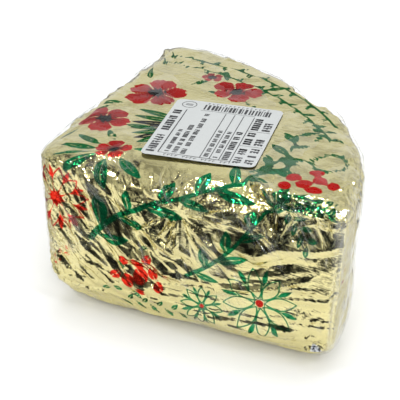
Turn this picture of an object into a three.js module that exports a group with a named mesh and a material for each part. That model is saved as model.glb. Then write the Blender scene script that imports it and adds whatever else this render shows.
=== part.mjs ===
// Gorgonzola wedge, wrapped: an eighth of a wheel (a quarter round, half the wheel's height) in
// crumpled printed foil under a tight clear film, with a paper weight label stuck on top.
// Millimetres, +Z up. The wedge lies on its flat base: one cut face looks along -Y, the other along
// -X, and the round rind side looks towards +X and +Y.

import * as THREE from 'three';

// ---------------------------------------------------------------- driving dimensions

const WHEEL_RADIUS = 150;        // from the wedge's point to the rind
const HEIGHT = 84;               // base to top, over the wrap
const POINT_RADIUS = 11;         // the blunt point of the wedge, seen from above
const NEAR_CORNER_RADIUS = 7;    // rind corner at the front cut face
const FAR_CORNER_RADIUS = 5;     // rind corner at the other cut face
const BASE_ROUNDING = 21;        // how far the bottom edge is rounded, inwards and upwards
const TOP_ROUNDING_IN = 9;       // top edge, inwards
const TOP_ROUNDING_DOWN = 5;     // top edge, downwards
const LEAN = 2.6;                // the sides stand in by this much at the base
const CORNER_SOFTENING = 0.6;    // corner radius gained for each millimetre of inset
const SLUMP_IN = 26;             // the soft top edge over the middle of the front face, inwards
const SLUMP_DOWN = 15;           // and downwards
const SLUMP_FROM = [2, 46];      // along the front face, where the slump starts and is full
const SLUMP_TO = [92, 124];      // and where it fades and ends
const CORNER_AT = [-75.0, -73.5];    // the cut faces' meeting line, from the middle of the base

const LABEL_WIDTH = 53;
const LABEL_LENGTH = 64;
const LABEL_THICKNESS = 0.5;
const LABEL_GAP = 0.3;           // clear of the film's face
const LABEL_TURN = 9;            // degrees, against the front face
const LABEL_CORNER = [36.4, 79.3];   // its far left corner, from the cut faces' meeting line
const LABEL_CORNER_RADIUS = 3;

// grid of the wrapped surface
const FRONT_STEPS = 38;
const RIND_STEPS = 40;
const LEFT_STEPS = 24;
const CORNER_STEPS = 6;
const POINT_STEPS = 8;
const BASE_RINGS = 5;
const SIDE_RINGS = 14;
const TOP_EDGE_RINGS = 6;
const TOP_RINGS = [0.9, 0.8, 0.7, 0.6, 0.5, 0.38, 0.24, 0.1];  // shares of the way to the middle
const MIDDLE = [60, 60];         // pole of the top rings, from the cut faces' meeting line

const DEGREE = Math.PI / 180;

// ---------------------------------------------------------------- small helpers

const mix = (a, b, share) => a + (b - a) * share;

function ease(x, from, to) {
  const share = Math.min(Math.max((x - from) / (to - from), 0), 1);
  return share * share * (3 - 2 * share);
}

function seededRandom(seed) {
  let state = seed >>> 0;
  return (low = 0, high = 1) => {
    state = (Math.imul(state, 1664525) + 1013904223) >>> 0;
    return mix(low, high, state / 4294967296);
  };
}

// ---------------------------------------------------------------- plan of the wedge

// Points once round the plan, anticlockwise, each with its outward direction. The whole outline can
// be drawn inset from the full one, and its corners are then rounder by a share of the inset.
function planOutline(inset) {
  const points = [];
  const addArc = (cx, cy, radius, from, to, steps) => {
    for (let i = 0; i < steps; i += 1) {
      const angle = mix(from, to, i / steps);
      const out = [Math.cos(angle), Math.sin(angle)];
      points.push({ at: [cx + radius * out[0], cy + radius * out[1]], out });
    }
  };
  const addLine = (start, end, out, steps) => {
    for (let i = 0; i < steps; i += 1) {
      const share = i / steps;
      points.push({ at: [mix(start[0], end[0], share), mix(start[1], end[1], share)], out });
    }
  };
  const rind = WHEEL_RADIUS - inset;
  const [tip, near, far] = [POINT_RADIUS, NEAR_CORNER_RADIUS, FAR_CORNER_RADIUS]
    .map((radius) => radius + inset * CORNER_SOFTENING);
  // centres of the corner arcs, each touching a cut face, and the rind circle or the other cut face
  const tipAt = inset + tip;
  const nearX = Math.sqrt((rind - near) ** 2 - (inset + near) ** 2);
  const farY = Math.sqrt((rind - far) ** 2 - (inset + far) ** 2);
  const rindFrom = Math.atan2(inset + near, nearX);
  const rindTo = Math.PI / 2 - Math.atan2(inset + far, farY);

  addArc(tipAt, tipAt, tip, Math.PI, 1.5 * Math.PI, POINT_STEPS);
  addLine([tipAt, inset], [nearX, inset], [0, -1], FRONT_STEPS);
  addArc(nearX, inset + near, near, -Math.PI / 2, rindFrom, CORNER_STEPS);
  addArc(0, 0, rind, rindFrom, rindTo, RIND_STEPS);
  addArc(inset + far, farY, far, rindTo, Math.PI, CORNER_STEPS);
  addLine([inset, farY], [inset, tipAt], [-1, 0], LEFT_STEPS);
  return points;
}

// ---------------------------------------------------------------- smooth form, before the folds

// How much the front face's top edge slumps at a plan point, from 0 to 1.
function slumpAt(point) {
  const along = point.at[0];
  return Math.max(-point.out[1], 0) * ease(along, ...SLUMP_FROM) * (1 - ease(along, ...SLUMP_TO));
}

// The smooth form as rings of points, from the rim of the flat base up over the edge to the top.
function smoothRings() {
  const slump = planOutline(0).map(slumpAt);
  const shoulders = slump.map((share) => HEIGHT - mix(TOP_ROUNDING_DOWN, SLUMP_DOWN, share));
  const makeRing = (inset, lean, heightAt) => planOutline(inset).map(({ at, out }, k) => (
    new THREE.Vector3(at[0] - out[0] * lean, at[1] - out[1] * lean, heightAt(k))
  ));

  const rings = [];
  for (let i = 0; i < BASE_RINGS; i += 1) {
    const turn = (i / BASE_RINGS) * 90 * DEGREE;
    const inset = BASE_ROUNDING * (1 - Math.sin(turn));
    rings.push(makeRing(inset, LEAN, () => BASE_ROUNDING * (1 - Math.cos(turn))));
  }
  for (let i = 0; i <= SIDE_RINGS; i += 1) {
    const share = i / SIDE_RINGS;
    rings.push(makeRing(0, LEAN * (1 - share), (k) => mix(BASE_ROUNDING, shoulders[k], share)));
  }
  for (let i = 1; i <= TOP_EDGE_RINGS; i += 1) {
    const turn = (i / TOP_EDGE_RINGS) * 90 * DEGREE;
    const inward = 1 - Math.cos(turn);
    const ring = makeRing(TOP_ROUNDING_IN * inward, 0, (k) => mix(shoulders[k], HEIGHT, Math.sin(turn)));
    ring.forEach((point, k) => {
      point.y += (SLUMP_IN - TOP_ROUNDING_IN) * inward * slump[k];
    });
    rings.push(ring);
  }
  const rim = rings[rings.length - 1];
  for (const share of TOP_RINGS) {
    rings.push(rim.map(({ x, y }) => new THREE.Vector3(
      mix(MIDDLE[0], x, share),
      mix(MIDDLE[1], y, share),
      HEIGHT,
    )));
  }
  return rings;
}

// ---------------------------------------------------------------- folds of foil and film

// Each face has flat coordinates of its own, and counts only where the surface looks its way.
const FRONT = { flat: (p) => [p.x, p.z], facing: (n) => -n.y };
const LEFT = { flat: (p) => [p.y, p.z], facing: (n) => -n.x };
const TOP = { flat: (p) => [p.x, p.y], facing: (n) => n.z };
const RIND = {
  flat: (p) => [Math.atan2(p.y, p.x) * WHEEL_RADIUS, p.z],
  facing: (n, p) => (n.x * p.x + n.y * p.y) / Math.hypot(p.x, p.y),
};

// Folds that stand out from a step away, as paths in a face's flat coordinates.
const MAIN_FOLDS = [
  // the long slanting ridge across the left half of the front face, and the creases beside it
  { face: FRONT, height: 2.6, reach: 7, path: [[25, 78], [36, 51], [48, 39], [60, 39], [77, 31]] },
  { face: FRONT, height: -1.8, reach: 6, path: [[33, 80], [45, 56], [58, 48]] },
  { face: FRONT, height: 1.8, reach: 6, path: [[44, 76], [54, 62], [64, 54]] },
  { face: FRONT, height: 1.6, reach: 6, path: [[12, 60], [26, 38], [46, 25], [66, 20]] },
  { face: FRONT, height: 1.4, reach: 6, path: [[16, 40], [32, 26], [52, 17]] },
  // the lapped fold low on the right half, with the hollow above it
  { face: FRONT, height: 2.4, reach: 6, path: [[92, 34], [106, 36], [121, 42], [136, 49]] },
  { face: FRONT, height: -1.8, reach: 6, path: [[104, 44], [118, 51], [134, 57]] },
  // the foil's lap along the bottom
  { face: FRONT, height: 1.6, reach: 6, path: [[78, 15], [99, 14], [116, 16], [134, 22]] },
  // big soft billows on the upper right
  { face: FRONT, height: 2.4, reach: 9, path: [[88, 60], [101, 63], [112, 58], [117, 50]] },
  { face: FRONT, height: -2.2, reach: 9, path: [[108, 72], [124, 70], [138, 66]] },
  { face: FRONT, height: 1.6, reach: 6, path: [[112, 79], [128, 80], [143, 81]] },
  // the crease that rings the near corner of the top
  { face: TOP, height: 1.4, reach: 6, path: [[124, 70], [136, 50], [142, 30], [143, 15]] },
  { face: TOP, height: -0.8, reach: 6, path: [[112, 62], [122, 44], [128, 24]] },
  // the film's small upstanding flaps along the rind's top edge
  { face: RIND, height: 2.2, reach: 5, path: [[100, 84], [118, 84]] },
  { face: RIND, height: 2.4, reach: 5, path: [[55, 84], [72, 84], [86, 84]] },
  { face: RIND, height: 2.0, reach: 6, path: [[6, 66], [8, 40], [10, 26]] },
];

const GATHER_AT = [70, 66];      // on the front face, where the foil is pinched together
const GATHER_PLEATS = 11;
const GATHER_DEPTH = 2.5;
const GATHER_REACH = 16;
const PLEAT_REACH = 4.5;
const PLEAT_LENGTH = [12, 24];

const SMALL_FOLDS = [
  { face: FRONT, count: 60, seed: 11, u: [12, 146], v: [10, 80], turn: [-70, -10], height: 1.0 },
  { face: FRONT, count: 24, seed: 12, u: [96, 146], v: [50, 82], turn: [-40, 50], height: 1.1 },
  { face: LEFT, count: 50, seed: 13, u: [8, 142], v: [10, 78], turn: [-80, 80], height: 0.9 },
  { face: TOP, count: 40, seed: 14, u: [8, 130], v: [8, 130], turn: [-90, 90], height: 0.5 },
  { face: RIND, count: 46, seed: 15, u: [6, 230], v: [12, 80], turn: [70, 110], height: 0.7 },
];
const SMALL_FOLD_LENGTH = [14, 34];
const SMALL_FOLD_REACH = [5, 8];
const TAPER = 0.3;               // share of a fold's length over which each end dies away

// Straight folds with seeded places, lengths and directions.
function scatterFolds({ face, count, seed, u, v, turn, height }) {
  const random = seededRandom(seed);
  const folds = [];
  for (let i = 0; i < count; i += 1) {
    const middle = [random(...u), random(...v)];
    const half = random(...SMALL_FOLD_LENGTH) / 2;
    const angle = random(...turn) * DEGREE;
    const arm = [Math.cos(angle) * half, Math.sin(angle) * half];
    const path = [-1, 1].map((side) => [middle[0] + side * arm[0], middle[1] + side * arm[1]]);
    const lift = height * random(0.4, 1) * (random() < 0.5 ? -1 : 1);
    folds.push({ face, path, height: lift, reach: random(...SMALL_FOLD_REACH) });
  }
  return folds;
}

// Pleats that run out from the pinch like the spokes of a wheel.
function gatherFolds() {
  const random = seededRandom(7);
  const folds = [];
  for (let i = 0; i < GATHER_PLEATS; i += 1) {
    const angle = ((i + random(-0.25, 0.25)) / GATHER_PLEATS) * 360 * DEGREE;
    const spoke = [Math.cos(angle), Math.sin(angle)];
    const reachOut = [3, random(...PLEAT_LENGTH)];
    const path = reachOut.map((r) => [GATHER_AT[0] + r * spoke[0], GATHER_AT[1] + r * spoke[1]]);
    folds.push({ face: FRONT, path, height: random(1.2, 1.8), reach: PLEAT_REACH });
  }
  return folds;
}

const FOLDS = [...MAIN_FOLDS, ...gatherFolds(), ...SMALL_FOLDS.flatMap(scatterFolds)];

// How far a point lies from a path, and how far along it, as a share of its length.
function nearestOnPath([u, v], path) {
  let total = 0;
  let best = { distance: Infinity, along: 0 };
  for (let i = 1; i < path.length; i += 1) {
    const [a, b] = [path[i - 1], path[i]];
    const step = [b[0] - a[0], b[1] - a[1]];
    const length = Math.hypot(...step);
    const raw = ((u - a[0]) * step[0] + (v - a[1]) * step[1]) / (length * length);
    const share = Math.min(Math.max(raw, 0), 1);
    const distance = Math.hypot(u - a[0] - share * step[0], v - a[1] - share * step[1]);
    if (distance < best.distance) best = { distance, along: total + share * length };
    total += length;
  }
  return { distance: best.distance, along: best.along / total };
}

function labelShare(x, y) {
  const turn = LABEL_TURN * DEGREE;
  const dx = x - LABEL_CORNER[0];
  const dy = y - LABEL_CORNER[1];
  return [
    (dx * Math.cos(turn) + dy * Math.sin(turn)) / LABEL_WIDTH,
    (dx * Math.sin(turn) - dy * Math.cos(turn)) / LABEL_LENGTH,
  ];
}

// 1 away from the label, 0 under it, so that the label lies flat.
function clearOfLabel(point) {
  const [across, down] = labelShare(point.x, point.y);
  const outside = Math.max(Math.abs(across - 0.5), Math.abs(down - 0.5)) - 0.5;
  return point.z > HEIGHT - SLUMP_DOWN ? ease(outside, 0.08, 0.25) : 1;
}

// The lift of all folds together at one point of the smooth form.
function foldLift(point, normal) {
  let lift = 0;
  for (const fold of FOLDS) {
    const weight = ease(fold.face.facing(normal, point), 0.15, 0.55);
    if (weight === 0) continue;
    const { distance, along } = nearestOnPath(fold.face.flat(point), fold.path);
    if (distance >= fold.reach) continue;
    const taper = Math.min(1, along / TAPER + 0.2, (1 - along) / TAPER + 0.2);
    lift += fold.height * (1 - distance / fold.reach) * taper * weight;
  }
  const fromGather = Math.hypot(point.x - GATHER_AT[0], point.z - GATHER_AT[1]);
  const dent = GATHER_DEPTH * (1 - ease(fromGather, 0, GATHER_REACH));
  lift -= dent * ease(-normal.y, 0.15, 0.55);
  return lift * clearOfLabel(point) * ease(point.z, 1, 10);
}

// ---------------------------------------------------------------- pieces

function wrappedWedge() {
  const smooth = smoothRings();
  const rings = smooth.length;
  const around = smooth[0].length;
  const at = (i, j) => smooth[Math.min(Math.max(j, 0), rings - 1)][(i + around) % around];
  const origin = new THREE.Vector3(...CORNER_AT, 0);

  const positions = [];
  const addVertex = (point) => positions.push(...point.clone().add(origin).toArray());
  for (let i = 0; i < around; i += 1) {
    for (let j = 0; j < rings; j += 1) {
      const along = at(i + 1, j).clone().sub(at(i - 1, j));
      const upward = at(i, j + 1).clone().sub(at(i, j - 1));
      const normal = along.cross(upward).normalize();
      addVertex(at(i, j).clone().addScaledVector(normal, foldLift(at(i, j), normal)));
    }
  }
  const basePole = positions.length / 3;
  addVertex(new THREE.Vector3(...MIDDLE, 0));
  const topPole = basePole + 1;
  addVertex(new THREE.Vector3(...MIDDLE, HEIGHT));

  const faces = [];
  for (let i = 0; i < around; i += 1) {
    const here = i * rings;
    const next = ((i + 1) % around) * rings;
    for (let j = 0; j < rings - 1; j += 1) {
      faces.push(here + j, next + j, next + j + 1);
      faces.push(here + j, next + j + 1, here + j + 1);
    }
    faces.push(basePole, next, here);
    faces.push(topPole, here + rings - 1, next + rings - 1);
  }
  const geometry = new THREE.BufferGeometry();
  geometry.setAttribute('position', new THREE.Float32BufferAttribute(positions, 3));
  geometry.setIndex(faces);
  geometry.computeVertexNormals();
  const foil = new THREE.MeshStandardMaterial({ color: 0xd8cb98, roughness: 0.25, metalness: 0.8 });
  const mesh = new THREE.Mesh(geometry, foil);
  mesh.name = 'wrapped_wedge';
  return mesh;
}

function weightLabel() {
  const corner = LABEL_CORNER_RADIUS;
  const sheet = new THREE.Shape();
  sheet.moveTo(corner, 0);
  sheet.lineTo(LABEL_WIDTH - corner, 0);
  sheet.absarc(LABEL_WIDTH - corner, -corner, corner, 90 * DEGREE, 0, true);
  sheet.lineTo(LABEL_WIDTH, corner - LABEL_LENGTH);
  sheet.absarc(LABEL_WIDTH - corner, corner - LABEL_LENGTH, corner, 0, -90 * DEGREE, true);
  sheet.lineTo(corner, -LABEL_LENGTH);
  sheet.absarc(corner, corner - LABEL_LENGTH, corner, -90 * DEGREE, -180 * DEGREE, true);
  sheet.lineTo(0, -corner);
  sheet.absarc(corner, -corner, corner, 180 * DEGREE, 90 * DEGREE, true);
  const geometry = new THREE.ExtrudeGeometry(sheet, {
    depth: LABEL_THICKNESS,
    bevelEnabled: false,
    curveSegments: 4,
  });
  const paper = new THREE.MeshStandardMaterial({ color: 0xe6eaea, roughness: 0.6, metalness: 0 });
  const mesh = new THREE.Mesh(geometry, paper);
  mesh.name = 'label';
  mesh.position.set(
    CORNER_AT[0] + LABEL_CORNER[0],
    CORNER_AT[1] + LABEL_CORNER[1],
    HEIGHT + LABEL_GAP,
  );
  mesh.rotation.z = LABEL_TURN * DEGREE;
  return mesh;
}

const group = new THREE.Group();
group.add(wrappedWedge(), weightLabel());

export default group;
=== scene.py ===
# %% [markdown]
# # A wedge of gorgonzola in printed foil and clear film
#
# The object is an eighth of a blue cheese wheel: a quarter round, half the wheel's height. It is
# folded into gold foil with a floral print, drawn tight in clear film, and carries a paper weight
# label. The cheese itself can't be seen, so the work is all in three skins: the crumpled foil, the
# film that bridges its hollows, and the label stuck on top.
#
# The CAD frame gives the form and the size. It is loaded first and never changed.

import math

import bpy
import numpy as np
from mathutils import Matrix
from mathutils.geometry import delaunay_2d_cdt


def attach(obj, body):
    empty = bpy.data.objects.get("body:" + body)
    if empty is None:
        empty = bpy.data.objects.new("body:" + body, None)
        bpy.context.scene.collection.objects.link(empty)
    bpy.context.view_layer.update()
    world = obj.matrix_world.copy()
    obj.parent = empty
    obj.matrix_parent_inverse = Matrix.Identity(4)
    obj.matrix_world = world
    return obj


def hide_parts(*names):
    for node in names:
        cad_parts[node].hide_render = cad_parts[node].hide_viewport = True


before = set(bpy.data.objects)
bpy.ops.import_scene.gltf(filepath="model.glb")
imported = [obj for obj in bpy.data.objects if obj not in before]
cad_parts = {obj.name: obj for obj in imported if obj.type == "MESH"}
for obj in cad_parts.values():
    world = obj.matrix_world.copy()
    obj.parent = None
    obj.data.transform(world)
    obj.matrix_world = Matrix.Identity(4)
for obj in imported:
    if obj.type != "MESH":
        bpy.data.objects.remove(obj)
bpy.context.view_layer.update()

# %% [markdown]
# ## The wedge's driving sizes
#
# These are the named sizes of the CAD solid, in millimetres: a wheel of 150 mm radius, 84 mm high
# in its wrap. The two cut faces meet at a blunt point at the left. The front face looks along -Y.
# The front face's top edge has slumped, so its rounding is wide and deep over the middle.

# %% Sizes in millimetres
WHEEL_RADIUS = 150
HEIGHT = 84
POINT_RADIUS = 11
NEAR_CORNER_RADIUS = 7
FAR_CORNER_RADIUS = 5
BASE_ROUNDING = 21
TOP_ROUNDING_IN = 9
TOP_ROUNDING_DOWN = 5
LEAN = 2.6
CORNER_SOFTENING = 0.6
SLUMP_IN = 26
SLUMP_DOWN = 15
SLUMP_FROM = (2, 46)
SLUMP_TO = (92, 124)
MIDDLE = np.array([60.0, 60.0])
CORNER_AT = np.array([-75.0, -73.5, 0.0])
MM = 0.001

LABEL_WIDTH = 53
LABEL_LENGTH = 64
LABEL_TURN = math.radians(9)
LABEL_CORNER = np.array([36.4, 79.3])
LABEL_CORNER_RADIUS = 3
print(f"wedge: {WHEEL_RADIUS} mm radius, {HEIGHT} mm high; label: {LABEL_WIDTH} x {LABEL_LENGTH} mm")


def ease(x, start, end):
    """0 before start, 1 after end, and a smooth step between them."""
    share = np.clip((x - start) / (end - start), 0, 1)
    return share * share * (3 - 2 * share)


# %% [markdown]
# ## A skin as a grid of rings
#
# Foil and film are sheets that follow the same form, so both are made by one function. It walks
# round the plan of the wedge, and stacks such outlines into rings from the base over the edge to
# the middle of the top. Subdividing a box would put the same number of faces everywhere. A grid of
# rings lets the front face, where the crumple is finest, have the most.

# %% Plan outline
def plan_outline(inset, steps):
    """Points once round the plan, and the outward direction at each."""
    rind = WHEEL_RADIUS - inset
    tip, near, far = (radius + inset * CORNER_SOFTENING
                      for radius in (POINT_RADIUS, NEAR_CORNER_RADIUS, FAR_CORNER_RADIUS))
    tip_at = inset + tip
    near_x = math.sqrt((rind - near) ** 2 - (inset + near) ** 2)
    far_y = math.sqrt((rind - far) ** 2 - (inset + far) ** 2)
    rind_from = math.atan2(inset + near, near_x)
    rind_to = math.pi / 2 - math.atan2(inset + far, far_y)
    at, out = [], []

    def arc(centre, radius, start, end, count):
        angle = np.linspace(start, end, count, endpoint=False)
        direction = np.stack([np.cos(angle), np.sin(angle)], 1)
        at.append(np.array(centre) + radius * direction)
        out.append(direction)

    def line(start, end, direction, count):
        share = np.linspace(0, 1, count, endpoint=False)[:, None]
        at.append(np.array(start) * (1 - share) + np.array(end) * share)
        out.append(np.tile(np.array(direction, float), (count, 1)))

    arc((tip_at, tip_at), tip, math.pi, 1.5 * math.pi, steps["tip"])
    line((tip_at, inset), (near_x, inset), (0, -1), steps["front"])
    arc((near_x, inset + near), near, -math.pi / 2, rind_from, steps["near"])
    arc((0, 0), rind, rind_from, rind_to, steps["rind"])
    arc((inset + far, far_y), far, rind_to, math.pi, steps["far"])
    line((inset, far_y), (inset, tip_at), (-1, 0), steps["left"])
    return np.concatenate(at), np.concatenate(out)


# %% Stack outlines into rings
BASE_CROWDING = 0.6


def stacked_rings(steps, outline, out):
    """Rings of points from the base up the sides, over the edge and in to the middle of the top."""
    slump = np.maximum(-out[:, 1], 0) * ease(outline[:, 0], *SLUMP_FROM)
    slump = slump * (1 - ease(outline[:, 0], *SLUMP_TO))
    shoulder = HEIGHT - (TOP_ROUNDING_DOWN + (SLUMP_DOWN - TOP_ROUNDING_DOWN) * slump)

    rings = []
    for share in np.linspace(0, 1, steps["base"], endpoint=False):
        turn = math.pi / 2 * share ** BASE_CROWDING
        at, _ = plan_outline(BASE_ROUNDING * (1 - math.sin(turn)), steps)
        height = np.full(len(at), BASE_ROUNDING * (1 - math.cos(turn)))
        rings.append(np.column_stack([at - out * LEAN, height]))
    for share in np.linspace(0, 1, steps["side"]):
        height = BASE_ROUNDING + (shoulder - BASE_ROUNDING) * share
        rings.append(np.column_stack([outline - out * LEAN * (1 - share), height]))
    for turn in np.linspace(0, math.pi / 2, steps["edge"] + 1)[1:]:
        inward = 1 - math.cos(turn)
        at, _ = plan_outline(TOP_ROUNDING_IN * inward, steps)
        at[:, 1] += (SLUMP_IN - TOP_ROUNDING_IN) * inward * slump
        height = shoulder + (HEIGHT - shoulder) * math.sin(turn)
        rings.append(np.column_stack([at, height]))
    rim = rings[-1]
    for share in np.linspace(1, 0, steps["top"] + 1)[1:-1]:
        flat = MIDDLE + (rim[:, :2] - MIDDLE) * share
        rings.append(np.column_stack([flat, np.full(len(rim), float(HEIGHT))]))
    return np.array(rings)


# %% [markdown]
# ## Places on a skin
#
# Folds and print are laid out flat and then wrapped round, so every point needs flat coordinates.
# A UV map could hold them, but plain arrays are easier to compute with. There are two charts: one
# unrolls the sides, and one is the sheet as it lay before its edges were folded down.

# %% The form with its flat coordinates
def smooth_form(steps):
    """The wedge's smooth form as arrays over rings and places round the plan.

    at: position; normal: outward; around: distance round the plan from the front face's left end,
    below zero on the left face; girth: distance up a side and over the edge, equal to the height on
    the upright part; sheet: the flat sheet before it was folded down; topness: 0 side, 1 top.
    """
    outline, out = plan_outline(0, steps)
    at = stacked_rings(steps, outline, out)
    along = np.roll(at, -1, 1) - np.roll(at, 1, 1)
    upward = np.concatenate([at[1:2] - at[:1], at[2:] - at[:-2], at[-1:] - at[-2:-1]])
    normal = np.cross(along, upward)
    normal /= np.linalg.norm(normal, axis=2, keepdims=True)

    lengths = np.linalg.norm(np.roll(outline, -1, 0) - outline, axis=1)
    around = np.concatenate([[0], np.cumsum(lengths)])
    total = around[-1]
    around = around[:-1] - around[steps["tip"]] + POINT_RADIUS
    around[-steps["left"]:] -= total
    climb = np.cumsum(np.linalg.norm(np.diff(at, axis=0, prepend=at[:1]), axis=2), 0)
    girth = climb - climb[steps["base"]] + BASE_ROUNDING
    rim_ring = steps["base"] + steps["side"] + steps["edge"] - 1
    rim = at[rim_ring]
    below = np.maximum(girth[rim_ring] - girth, 0)
    flat = np.where((np.arange(len(at)) < rim_ring)[:, None, None], rim[None, :, :2], at[:, :, :2])
    sheet = flat + out[None] * below[:, :, None]
    edge_share = (np.arange(len(at)) - steps["base"] - steps["side"]) / steps["edge"]
    topness = np.repeat(ease(edge_share, 0.35, 1)[:, None], len(outline), 1)
    around = np.repeat(around[None], len(at), 0)
    return {"at": at, "normal": normal, "around": around, "girth": girth, "sheet": sheet,
            "topness": topness}


# %% [markdown]
# ## From arrays to a mesh
#
# A ring grid turns into quads by index arithmetic. The base is closed by a fan to one point and the
# top by another, so each skin is one closed body. foreach_set moves whole arrays at once, which
# matters with a hundred thousand points. Named float attributes carry the print and the crumple to
# the materials.

# %% Faces between rings
def grid_faces(rings, around):
    here = np.arange(around)
    after = (here + 1) % around
    rows = np.arange(rings - 1)[:, None] * around
    quads = np.stack([rows + here, rows + after, rows + after + around, rows + here + around], -1)
    return quads.reshape(-1, 4)


def pole_fans(rings, around):
    """Triangles that close the first ring to one added point and the last ring to another."""
    here = np.arange(around)
    after = (here + 1) % around
    last = (rings - 1) * around
    low, high = rings * around, rings * around + 1
    return np.concatenate([np.stack([np.full(around, low), after, here], 1),
                           np.stack([np.full(around, high), last + here, last + after], 1)])


# %% Mesh objects
def make_piece(name, points, quads, triangles=(), values=None, smooth=True, crease_angle=None):
    """A mesh object from points in millimetres from the cut faces' meeting line."""
    mesh = bpy.data.meshes.new(name)
    faces = [list(map(int, face)) for face in quads] + [list(map(int, face)) for face in triangles]
    mesh.from_pydata(((points + CORNER_AT) * MM).tolist(), [], faces)
    for key, value in (values or {}).items():
        layer = mesh.attributes.new(key, "FLOAT", "POINT")
        layer.data.foreach_set("value", np.ascontiguousarray(value, dtype=np.float32))
    if smooth:
        mesh.shade_smooth()
    if crease_angle:
        mesh.set_sharp_from_angle(angle=math.radians(crease_angle))
    mesh.validate()
    piece = bpy.data.objects.new(name, mesh)
    bpy.context.scene.collection.objects.link(piece)
    print(f"{name}: {len(mesh.vertices)} points, {len(mesh.polygons)} faces")
    return piece


def skin_piece(name, at, values=None, crease_angle=None):
    """Closes a skin's rings with a pole below and one above."""
    rings, around = at.shape[:2]
    bottom = np.array([[*MIDDLE, at[0, :, 2].mean()]])
    top = np.array([[*MIDDLE, at[-1, :, 2].mean()]])
    points = np.concatenate([at.reshape(-1, 3), bottom, top])
    flat_values = {key: np.concatenate([value.ravel(), [value[0].mean(), value[-1].mean()]])
                   for key, value in (values or {}).items()}
    return make_piece(name, points, grid_faces(rings, around), pole_fans(rings, around), flat_values,
                      crease_angle=crease_angle)


# %% [markdown]
# ## Facets
#
# Foil can't stretch. When it is crushed it breaks into flat facets with sharp edges between them, and
# each facet mirrors another part of the studio. A noise texture would give soft lumps instead, and a
# cloth simulation fine enough for foil takes far too long. So random points are scattered over the
# flat sheet, joined into triangles by Blender's own Delaunay function, and raised or lowered. Where
# the foil was pulled in one direction, the points are spread out along it, and the facets turn into
# long pleats.

# %% Scatter points and join them
SPOT_JITTER = 0.48


def drawn_out(u, v, stretch, turn):
    """Flat coordinates turned by degrees and squeezed along, so that even facets come out long."""
    cos, sin = math.cos(math.radians(turn)), math.sin(math.radians(turn))
    return (u * cos + v * sin) / stretch, -u * sin + v * cos


def facet_triangles(seed, low, high, spacing, stretch, turn, height):
    """Places and heights of facet corners over a box, and the triangles between them."""
    random = np.random.default_rng(seed)
    cos, sin = math.cos(math.radians(turn)), math.sin(math.radians(turn))
    box_a, box_b = drawn_out(*np.meshgrid((low[0], high[0]), (low[1], high[1])), stretch, turn)
    rows = [np.arange(edge.min() - 2 * spacing, edge.max() + 2 * spacing, spacing)
            for edge in (box_a, box_b)]
    grid = np.stack(np.meshgrid(*rows), -1).reshape(-1, 2)
    spots = grid + random.uniform(-SPOT_JITTER, SPOT_JITTER, grid.shape) * spacing
    tall = random.uniform(-1, 1, len(spots)) * height
    back_u = spots[:, 0] * stretch * cos - spots[:, 1] * sin
    back_v = spots[:, 0] * stretch * sin + spots[:, 1] * cos
    margin = 2 * spacing * stretch
    kept = (back_u > low[0] - margin) & (back_u < high[0] + margin)
    kept &= (back_v > low[1] - margin) & (back_v < high[1] + margin)
    spots, tall = spots[kept], tall[kept]
    result = delaunay_2d_cdt([tuple(spot) for spot in spots], [], [], 0, 1e-7)
    at = np.array([tuple(spot) for spot in result[0]])
    return at, np.array([tall[sources[0]] for sources in result[3]]), result[2]


# %% A sheet of facets
def facets(seed, u, v, low, high, spacing, stretch, turn, height):
    """Height over the flat coordinates u and v, with triangles drawn out along turn in degrees."""
    at, tall, faces = facet_triangles(seed, low, high, spacing, stretch, turn, height)
    a, b = drawn_out(u, v, stretch, turn)
    lift = np.zeros(len(u))
    inside = np.nonzero((u > low[0]) & (u < high[0]) & (v > low[1]) & (v < high[1]))[0]
    order = inside[np.argsort(a[inside])]
    sorted_a = a[order]
    for face in faces:
        corner, heights = at[face], tall[face]
        start, end = np.searchsorted(sorted_a, (corner[:, 0].min(), corner[:, 0].max()))
        picked = order[start:end]
        pb = b[picked]
        picked = picked[(pb >= corner[:, 1].min()) & (pb <= corner[:, 1].max())]
        if not len(picked):
            continue
        (ax, ay), (bx, by) = corner[1] - corner[0], corner[2] - corner[0]
        px, py = a[picked] - corner[0, 0], b[picked] - corner[0, 1]
        area = ax * by - ay * bx
        first, second = (px * by - py * bx) / area, (ax * py - ay * px) / area
        within = (first >= -1e-6) & (second >= -1e-6) & (first + second <= 1 + 1e-6)
        lift[picked[within]] = (heights[0] + first * (heights[1] - heights[0])
                                + second * (heights[2] - heights[0]))[within]
    return lift


def zone_share(u, v, low, high, fade):
    """1 inside a box, fading to 0 over fade at its edges."""
    share = ease(u, low[0], low[0] + fade) * (1 - ease(u, high[0] - fade, high[0]))
    return share * ease(v, low[1], low[1] + fade) * (1 - ease(v, high[1] - fade, high[1]))


# %% [markdown]
# ## Creases
#
# Between the facets run longer folds and thin wrinkles. A bevelled curve would lie on the foil as a
# strand of its own, so each crease is a height added to the sheet: a tent in section, steeper on one
# side than the other, that dies away at both ends.

# %% Raise creases
def add_creases(lift, u, v, creases):
    """Adds ridge lines to lift, given at flat coordinates u and v."""
    for cu, cv, angle, length, bend, left, right, height in creases:
        half = length / 2
        near = np.nonzero((np.abs(u - cu) < half + left + right)
                          & (np.abs(v - cv) < half + left + right))[0]
        if not len(near):
            continue
        du, dv = u[near] - cu, v[near] - cv
        along = (du * math.cos(angle) + dv * math.sin(angle)) / half
        across = -du * math.sin(angle) + dv * math.cos(angle) + bend * half * (along * along - 0.5)
        slope = np.where(across > 0, across / left, -across / right)
        ends = np.clip(1 - along * along, 0, 1)
        lift[near] += height * np.clip(1 - slope, 0, 1) * ends
    return lift


# %% [markdown]
# ## Many creases at once
#
# Real crumple has hundreds of creases that share a direction but not a size. Drawing each by hand
# would take days, and one repeated pattern would show. So each group is drawn from seeded random
# ranges: where, which way, how long, how wide and how tall. The seed gives the same result each run.

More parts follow.
